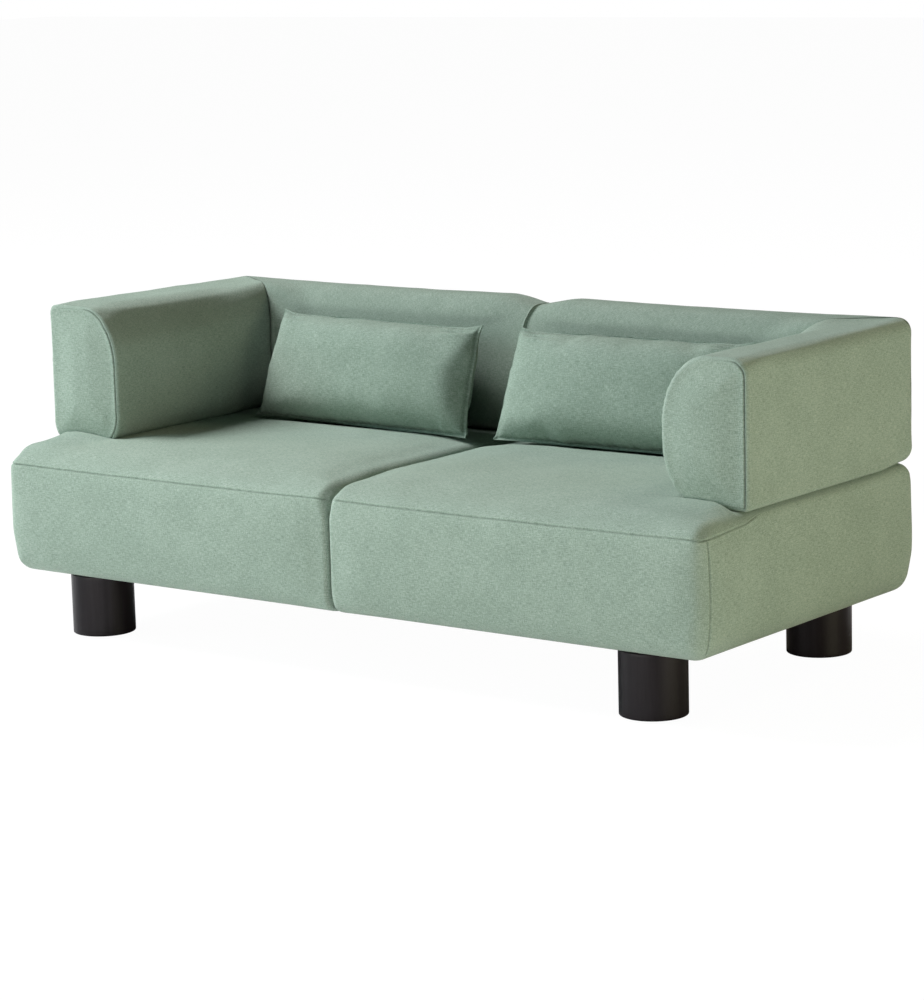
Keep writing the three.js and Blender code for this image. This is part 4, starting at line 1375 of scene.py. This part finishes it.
# %% Zip coils
DOWNWARD = np.array([(0, 0, -1.0)] * 2)
for side_name in ("left", "right"):
    low, high = box_mm("zip_chain_" + side_name)
    pull = next(joint for joint in frame["joints"] if joint["name"] == "zip_" + side_name + "_pull")
    way = np.array(pull["axis"])
    middle = (low + high) / 2
    half = (high[0] - low[0]) / 2 - 6
    ends = np.array([middle - way * half, middle + way * half])
    ends[:, 2] = low[2] - 0.1
    teeth = row_of_parts(
        "zip_coil_" + side_name,
        [(ends, DOWNWARD)],
        pitch=1.9,
        length=1.1,
        width=4.2,
        height=1.0,
        seed=5,
        finish=finishes["zip_tape"],
    )
    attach(teeth, "cushion_" + side_name)

# %% [markdown]
# ## Legs and the cloth under the base
#
# Each leg is turned from one post: a round drum with its edges eased by a few strokes of sandpaper. It
# is drawn as a profile that goes round an axis, which is what a lathe does. The dust cloth under the
# base is a thin sheet, stretched over the frame's underside and stapled along its edges.

# %% Turned legs
def turned(name, node, profile, sides=96):
    """A closed round piece. The profile is (radius, height) pairs, from the axis up to the axis."""
    low, high = box_mm(node)
    centre = (low + high) / 2
    angle = np.linspace(0, 2 * math.pi, sides, endpoint=False)
    cosine, sine = np.cos(angle), np.sin(angle)
    rings = [
        np.stack([centre[0] + r * cosine, centre[1] + r * sine, np.full(sides, z)], 1)
        for r, z in profile[1:-1]
    ]
    ends = [(centre[0], centre[1], profile[0][1]), (centre[0], centre[1], profile[-1][1])]
    points = np.concatenate([*rings, np.array(ends)]) * MM
    faces = []
    bottom, top = len(rings) * sides, len(rings) * sides + 1
    for n in range(sides):
        m = (n + 1) % sides
        faces.append((bottom, m, n))
        faces.append((top, (len(rings) - 1) * sides + n, (len(rings) - 1) * sides + m))
        for ring in range(len(rings) - 1):
            a, b = ring * sides, (ring + 1) * sides
            faces.append((a + n, a + m, b + m, b + n))
    mesh = bpy.data.meshes.new(name)
    mesh.from_pydata(points.tolist(), [], faces)
    mesh.shade_smooth()
    return linked(name, mesh)


def leg_profile(low, high, radius, socket_radius, socket_top):
    """The glide's socket below, an eased foot, a straight side and an eased top."""
    ease = 2.5
    turns = [math.pi / 2 * t for t in (0, 0.25, 0.5, 0.75, 1)]
    foot = [(radius - ease + ease * math.sin(t), low + ease - ease * math.cos(t)) for t in turns]
    head = [(radius - ease + ease * math.cos(t), high - ease + ease * math.sin(t)) for t in turns]
    sides = [(radius, low + (high - low) * share) for share in (0.06, 0.35, 0.65, 0.94)]
    under = [(0, socket_top), (socket_radius - 1, socket_top), (socket_radius, socket_top)]
    under += [(socket_radius, socket_top - 0.8), (socket_radius, low + 0.6), (socket_radius + 0.6, low)]
    flat = [(radius - ease - 6, low), (radius - ease - 1, low)]
    return under + flat + foot + sides + head + [(radius - ease - 2, high), (20, high), (0, high)]


GLIDE_PLAY = 0.4
for end in ("front", "rear"):
    for side_name in ("left", "right"):
        node = f"leg_{end}_{side_name}"
        low, high = box_mm(node)
        glide_low, glide_high = box_mm(f"glide_{end}_{side_name}")
        socket_radius = (glide_high[0] - glide_low[0]) / 2 + GLIDE_PLAY
        socket_top = glide_high[2] + GLIDE_PLAY
        profile = leg_profile(low[2], high[2], (high[0] - low[0]) / 2, socket_radius, socket_top)
        leg = turned(f"turned_leg_{end}_{side_name}", node, profile)
        leg.data.materials.append(finishes["leg_wood"])
        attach(leg, "sofa")
        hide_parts(node)
print("turned", len(profile), "rings for each leg")

# %% Dust cloth and its staples
low, high = box_mm("dust_cover")
columns, lines = 61, 27
across_x = np.linspace(low[0], high[0], columns)
across_y = np.linspace(low[1], high[1], lines)
cloth_x, cloth_y = np.meshgrid(across_x, across_y, indexing="ij")
wide, deep = high[0] - low[0], high[1] - low[1]
inside = np.sin(math.pi * (cloth_x - low[0]) / wide) * np.sin(math.pi * (cloth_y - low[1]) / deep)
flat_points = np.stack([cloth_x.ravel(), cloth_y.ravel()], 1)
ripple = waves(np.column_stack([flat_points, 0 * flat_points[:, 0]]), 160, 61)
cloth_z = (low[2] + high[2]) / 2 - 0.3 * inside.ravel() * (1 + ripple)
grid = np.arange(columns * lines).reshape(columns, lines)
cells = np.stack([grid[:-1, :-1], grid[:-1, 1:], grid[1:, 1:], grid[1:, :-1]], -1).reshape(-1, 4)
dust = mesh_object("stapled_dust_cloth", np.column_stack([flat_points, cloth_z]), cells)
dust.data.materials.append(finishes["dust_cloth"])
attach(dust, "sofa")
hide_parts("dust_cover")

edge_in = 9.0
x0, x1, y0, y1 = low[0] + edge_in, high[0] - edge_in, low[1] + edge_in, high[1] - edge_in
staple_z = low[2] - 0.2
loop = [(x0, y0), (x1, y0), (x1, y1), (x0, y1), (x0, y0)]
staple_lines = []
for (ax, ay), (bx, by) in zip(loop[:-1], loop[1:]):
    points = np.array([(ax, ay, staple_z), (bx, by, staple_z)])
    staple_lines.append((points, DOWNWARD))
steel = finishes["steel"]
staples = row_of_parts(
    "staples", staple_lines, pitch=48.0, length=10.0, width=1.2, height=0.9, seed=11, finish=steel
)
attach(staples, "sofa")

# %% [markdown]
# ## Camera and studio
#
# The camera stands at the front right, a little above the back, with a long lens. Big soft lights on the
# left do most of the work, as in a furniture studio, far enough away that both ends are equally bright.
# A warm one behind, on the right, and a low strip beside the sofa give the outer side its olive tone,
# and a low strip in front keeps the base from going dark. There is almost no light from the room, so
# the hollows between cushions and arms fall into shade.

# %% Camera
AZIMUTH, ELEVATION, ROLL = (math.radians(a) for a in (37.14, 10.36, -1.47))
TARGET = Vector((0.16566, -0.1656, 0.350))
DISTANCE = 6.7229
LENS = 118.5

back_way = Vector(
    (
        math.sin(AZIMUTH) * math.cos(ELEVATION),
        -math.cos(AZIMUTH) * math.cos(ELEVATION),
        math.sin(ELEVATION),
    )
)
level_right = (-back_way).cross(Vector((0, 0, 1))).normalized()
level_up = level_right.cross(-back_way)
right_way = level_right * math.cos(ROLL) + level_up * math.sin(ROLL)
up_way = level_up * math.cos(ROLL) - level_right * math.sin(ROLL)
camera_data = bpy.data.cameras.new("camera")
camera_data.lens = LENS
camera_data.sensor_width = 36
camera = linked("camera", camera_data)
camera.matrix_world = Matrix.Translation(TARGET + back_way * DISTANCE) @ Matrix(
    (
        (right_way.x, up_way.x, back_way.x, 0),
        (right_way.y, up_way.y, back_way.y, 0),
        (right_way.z, up_way.z, back_way.z, 0),
        (0, 0, 0, 1),
    )
)
bpy.context.scene.camera = camera

# %% Floor and lights
floor_mesh = bpy.data.meshes.new("floor")
floor_mesh.from_pydata([(-30, -30, 0), (30, -30, 0), (30, 30, 0), (-30, 30, 0)], [], [(0, 1, 2, 3)])
floor = linked("floor", floor_mesh)
floor_material, floor_tree, floor_shader, _ = new_finish("pale_floor", Roughness=0.9)
floor_shader.inputs["Base Color"].default_value = (0.8, 0.8, 0.8, 1)
# The camera sees the floor mostly as an evenly lit white sweep, with a faint shadow under the sofa.
glow = add(floor_tree, "ShaderNodeEmission", {"Color": (1, 1, 1, 1), "Strength": 1.04})
seen = add(floor_tree, "ShaderNodeLightPath").outputs["Is Camera Ray"]
sweep = add(
    floor_tree,
    "ShaderNodeMixShader",
    {0: maths(floor_tree, "MULTIPLY", seen, 0.94), 1: floor_shader.outputs[0], 2: glow.outputs[0]},
)
floor_tree.links.new(sweep.outputs[0], floor_tree.nodes["Material Output"].inputs["Surface"])
floor_mesh.materials.append(floor_material)


SOFA_MIDDLE = Vector((0, 0, 0.4))


def area_light(name, place, size, power, colour):
    """A soft rectangular light that faces the middle of the sofa."""
    data = bpy.data.lights.new(name, "AREA")
    data.shape = "RECTANGLE"
    data.size, data.size_y = size
    data.energy = power
    data.color = colour
    light = linked(name, data)
    light.location = place
    light.rotation_euler = (SOFA_MIDDLE - Vector(place)).to_track_quat("-Z", "Y").to_euler()


LIGHT_DISTANCE = 9.0
SOFTBOX = (3.2, 3.2)


def far_light(name, azimuth, elevation, power, colour):
    """A softbox far enough away that both ends of the sofa get the same light."""
    a, e = math.radians(azimuth), math.radians(elevation)
    way = Vector((math.sin(a) * math.cos(e), -math.cos(a) * math.cos(e), math.sin(e)))
    area_light(name, SOFA_MIDDLE + way * LIGHT_DISTANCE, SOFTBOX, power, colour)


far_light("left_softbox", -75, 45, 1120, (0.985, 0.965, 1.0))
far_light("front_left_softbox", -50, 20, 220, (0.72, 0.97, 1.0))
far_light("warm_back_softbox", 150, 38, 150, (1.0, 0.84, 0.62))
area_light("low_front_strip", (0.0, -2.8, 0.25), (3.6, 0.5), 28, (1.0, 0.97, 0.95))
area_light("low_right_strip", (3.6, -0.2, 0.3), (2.6, 0.5), 42, (1.0, 0.93, 0.68))

ROOM_LIGHT = 0.01
world = bpy.data.worlds.new("studio")
world.use_nodes = True
room = world.node_tree
seen = add(room, "ShaderNodeLightPath").outputs["Is Camera Ray"]
# The camera sees a white room, but the room gives the sofa almost no light.
brightness = remap(room, seen, 0.0, 1.0, ROOM_LIGHT, 1.0)
room.links.new(brightness, room.nodes["Background"].inputs["Strength"])
room.nodes["Background"].inputs["Color"].default_value = (1, 1, 1, 1)
bpy.context.scene.world = world
bpy.context.scene.view_settings.view_transform = "Standard"
